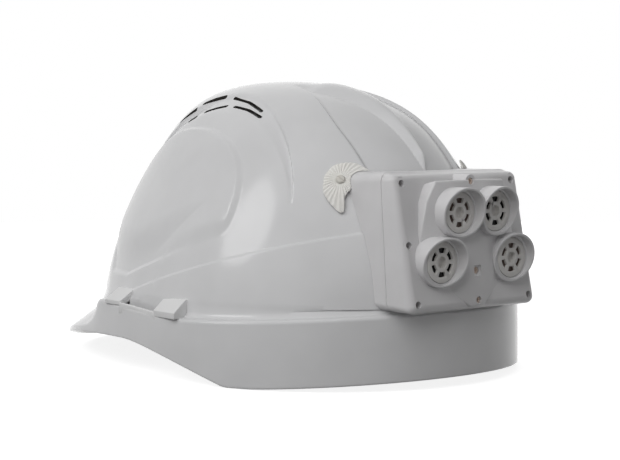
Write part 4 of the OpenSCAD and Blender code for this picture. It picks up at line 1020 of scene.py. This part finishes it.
def buildSweatband():
    def place(u, inward, fill):
        ripple = 1 + 0.05 * math.sin(math.radians(u * 23)) if inward > 2 else 1
        d = 0.1 + inward * fill * ripple
        a = math.radians(u)
        return (padSizes["bandRadius"] - d) * math.cos(a), bandY + (padSizes["bandReach"] - d) * math.sin(a)

    return cushion("sweat", np.linspace(193, 347, 78), plumpSection(16, 42, 3.8), 0.15, 4, place)

def buildNapePad():
    outer = padSizes["bandRadius"] + padSizes["bandThick"] - padSizes["houseWall"] - 0.1

    def place(u, inward, fill):
        r = outer - 0.05 - inward * fill
        return r * math.cos(math.radians(u)), bandY + r * math.sin(math.radians(u))

    return cushion("nape", np.linspace(70.3, 109.7, 34), plumpSection(12.9, 45.1, 4.0, 1.0), 0.1, 3, place)

def buildCrownPad():
    top, foot, radius, edge = cradleTop - 3.9, 44, 101.8, 28

    def ring(r, under):
        points = []
        for i in range(96):
            a = 2 * math.pi * i / 96
            seam = abs((i / 96 * 8) % 1 - 0.5) * 2          # eight panels, seam where this is 1
            plump = max(1 - (r / edge) ** 6, 0) ** 0.5
            thick = 1.4 + 3.4 * plump * (1 - 0.45 * math.exp(-((1 - seam) * r * 0.39 / 1.4) ** 2))
            thick *= 1 - 0.3 * math.exp(-((r - 22) / 1.1) ** 2)
            z = foot + (top - foot) * math.sqrt(1 - (r / radius) ** 2) - 0.05
            points.append((r * math.cos(a), r * math.sin(a), z - 0.4 * (1 - plump) - under * thick))
        return points

    shares = [0.02, 0.12, 0.24, 0.36, 0.48, 0.6, 0.7, 0.76, 0.8, 0.86, 0.92, 0.97, 1]
    rings = [ring(edge * s, 0) for s in shares] + [ring(edge * 1.006, 0.5)]
    return loft("crown", rings + [ring(edge * s, 1) for s in shares[::-1]])

cushions = [(buildSweatband, "sweat_pad", "sweatband"), (buildNapePad, "nape_cushion", "nape_pad"),
    (buildCrownPad, "crown_cushion", "crown_pad")]
for build, name, node in cushions:
    pad = build()
    finishPiece(pad, name, "helmet", knitOverFoam, [node], 60)
print("harness textiles done")

# Knob: a disc with twelve scallops, a dished end and a shaft
knobShape = {
    "radius": 19, "length": 13, "scallops": 12, "scallopAt": 21, "scallopRadius": 3.5, "dish": 13, "sides": 192,
}

def buildKnob():
    b = knobShape
    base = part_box("adjuster_knob")[1][1] / mm - bandY - b["length"]
    angles = np.arange(b["sides"]) * 2 * math.pi / b["sides"]
    step = 2 * math.pi / b["scallops"]
    off = np.abs((angles % step) - step / 2)
    along, across = b["scallopAt"] * np.cos(off), b["scallopAt"] * np.sin(off)
    root = np.sqrt(np.maximum(b["scallopRadius"] ** 2 - across ** 2, 0))
    body = np.where(across < b["scallopRadius"], np.minimum(along - root, b["radius"]), b["radius"])

    def ring(y, radii):
        return [(r * math.cos(a), bandY + base + y, bandZ + r * math.sin(a)) for r, a in zip(radii, angles)]

    one = np.ones(b["sides"])
    end, dish = b["length"], b["dish"] * one
    profile = [(-4, 4 * one), (0, 4 * one), (0, body - 0.8), (0.25, body - 0.25), (0.8, body),
        (end - 2, body), (end - 1.5, body - 0.15), (end - 0.9, body - 0.7), (end - 0.35, body - 1.4),
        (end, np.minimum(body - 2.2, 16.4)), (end, dish + 0.5 * one), (end - 0.15, dish + 0.15 * one),
        (end - 0.6, dish), (end - 1.2, dish - 0.4 * one), (end - 1.2, one)]
    return loft("knob", [ring(y, radii) for y, radii in profile])

knob = buildKnob()
finishPiece(knob, "scalloped_knob", "knob", knobElastomer, ["adjuster_knob"], 40)

# Copies of the hard small parts, with their edges broken as moulded or turned parts have them
smallParts = [
    ("front_band", "head_band_front", "helmet", "harness_plastic", nylonBand, 0.3),
    ("left_rear_band", "head_band_left", "left_band", "harness_plastic", nylonBand, 0.2),
    ("right_rear_band", "head_band_right", "right_band", "harness_plastic", nylonBand, 0.2),
    ("ratchet_back", "ratchet_frame", "helmet", "harness_plastic", nylonBand, 0.3),
    ("ratchet_cover", "ratchet_plate", "helmet", "harness_plastic", nylonBand, 0.4),
    ("ratchet_screws", "plate_screws", "helmet", "screw_steel", zincSteel, 0.15),
    ("ratchet_pinion", "pinion_gear", "knob", "harness_plastic", nylonBand, 0.1),
    *[(end + "_" + side + "_clip", "clip_" + end + "_" + side, "helmet", "harness_plastic", nylonBand, 0.4)
        for end in ("front", "rear") for side in ("left", "right")],
    ("cover_screws", "face_screws", "helmet", "coated_screw", coatedScrew, 0.12),
    ("tray_screws", "fixing_screws", "helmet", "screw_steel", zincSteel, 0.3),
    ("pad_rivets", "fan_rivets", "helmet", "rivet_plastic", rivetNylon, 0.2),
    ("circuit_board", "board_with_chips", "helmet", "board", boardLaminate, 0.1),
    ("button_switch", "tact_switch", "helmet", "switch_plastic", switchPlastic, 0.2),
    ("battery", "cell", "helmet", "cell_wrap", cellWrap, 0.8),
    ("power_button", "rubber_button", "button", "button_rubber", buttonRubber, 0.5),
    ("charge_socket", "plated_socket", "helmet", "socket_steel", platedSocket, 0.08),
]
for node, name, body, finish, material, width in smallParts:
    part = bevelled(mergedCopy(node), width, 2, 40)
    finishPiece(part, name, body, material, [node], 35)
print("small parts done")

# Floor, backdrop and light: a broad key from the upper left, and the small panel that the dome mirrors
studio = {"world": 0.18, "floorGlow": 0.86, "floorPaper": "BCBCBC", "floorBounce": 0.4}
middle = (0, 0, 0.08)
lamps = {
    "keyLamp": {"start": middle, "towards": (0.70, 0.25, 0.67), "distance": 1.4, "size": 1.5, "power": 11.6,
        "mirrored": False},
    "fillLamp": {"start": middle, "towards": (-0.66, -0.70, 0.25), "distance": 1.4, "size": 1.4, "power": 9,
        "mirrored": False},
    "panelLamp": {"start": (0.077, 0.053, 0.087), "towards": (0.72, -0.28, 0.59), "distance": 1.1,
        "size": 0.42, "power": 1.25, "mirrored": True},
}

def addLamp(name, start, towards, distance, size, power, mirrored):
    data = bpy.data.lights.new(name, "AREA")
    data.shape, data.size, data.energy = "DISK", size, power
    lamp = bpy.data.objects.new(name, data)
    bpy.context.scene.collection.objects.link(lamp)
    back = Vector(towards).normalized()
    lamp.location = Vector(start) + back * distance
    lamp.rotation_mode = "QUATERNION"
    lamp.rotation_quaternion = (-back).to_track_quat("-Z", "Y")
    lamp.visible_glossy = mirrored

for name, settings in lamps.items():
    addLamp(name, **settings)

# What the camera, a mirror or glass sees, against what lights the object
def shownOrLit(tree, shown, lit):
    paths = addNode(tree, "LightPath").outputs
    seen = paths["Is Camera Ray"]
    for kind in ("Is Glossy Ray", "Is Transmission Ray"):
        seen = addNode(tree, "Math", {"operation": "MAXIMUM"}, {0: seen, 1: paths[kind]}).outputs[0]
    return addNode(tree, "MixShader", {}, {0: seen, 1: lit, 2: shown}).outputs[0]

world = bpy.data.worlds.new("studio")
bpy.context.scene.world = world
tree = emptyTree(world)
soft = addNode(tree, "Background", {"Color": hexColour("FFFFFF"), "Strength": studio["world"]})
white = addNode(tree, "Background", {"Color": hexColour("FFFFFF"), "Strength": 1.0})
addNode(tree, "OutputWorld", {}, {"Surface": shownOrLit(tree, white.outputs[0], soft.outputs[0])})

# Floor: white paper that still takes the helmet's shadow
deselectAll()
bpy.ops.mesh.primitive_circle_add(vertices=96, radius=1.3, fill_type="NGON", location=(0, 0, -0.0005))
floor = bpy.context.object
floor.name = "floor"
applyPlace(floor)
floorPaper = bpy.data.materials.new("floorPaper")
tree = emptyTree(floorPaper)
glow = addNode(tree, "Emission", {"Color": hexColour("FFFFFF"), "Strength": studio["floorGlow"]})
paper = addNode(tree, "BsdfDiffuse", {"Color": hexColour(studio["floorPaper"])})
bounce = addNode(tree, "BsdfDiffuse", {"Color": (studio["floorBounce"] / 2,) * 3 + (1,)})
both = addNode(tree, "AddShader", {}, {0: glow.outputs[0], 1: paper.outputs[0]})
addNode(tree, "OutputMaterial", {}, {"Surface": shownOrLit(tree, both.outputs[0], bounce.outputs[0])})
floor.data.materials.append(floorPaper)

bpy.context.scene.view_settings.view_transform = "Standard"
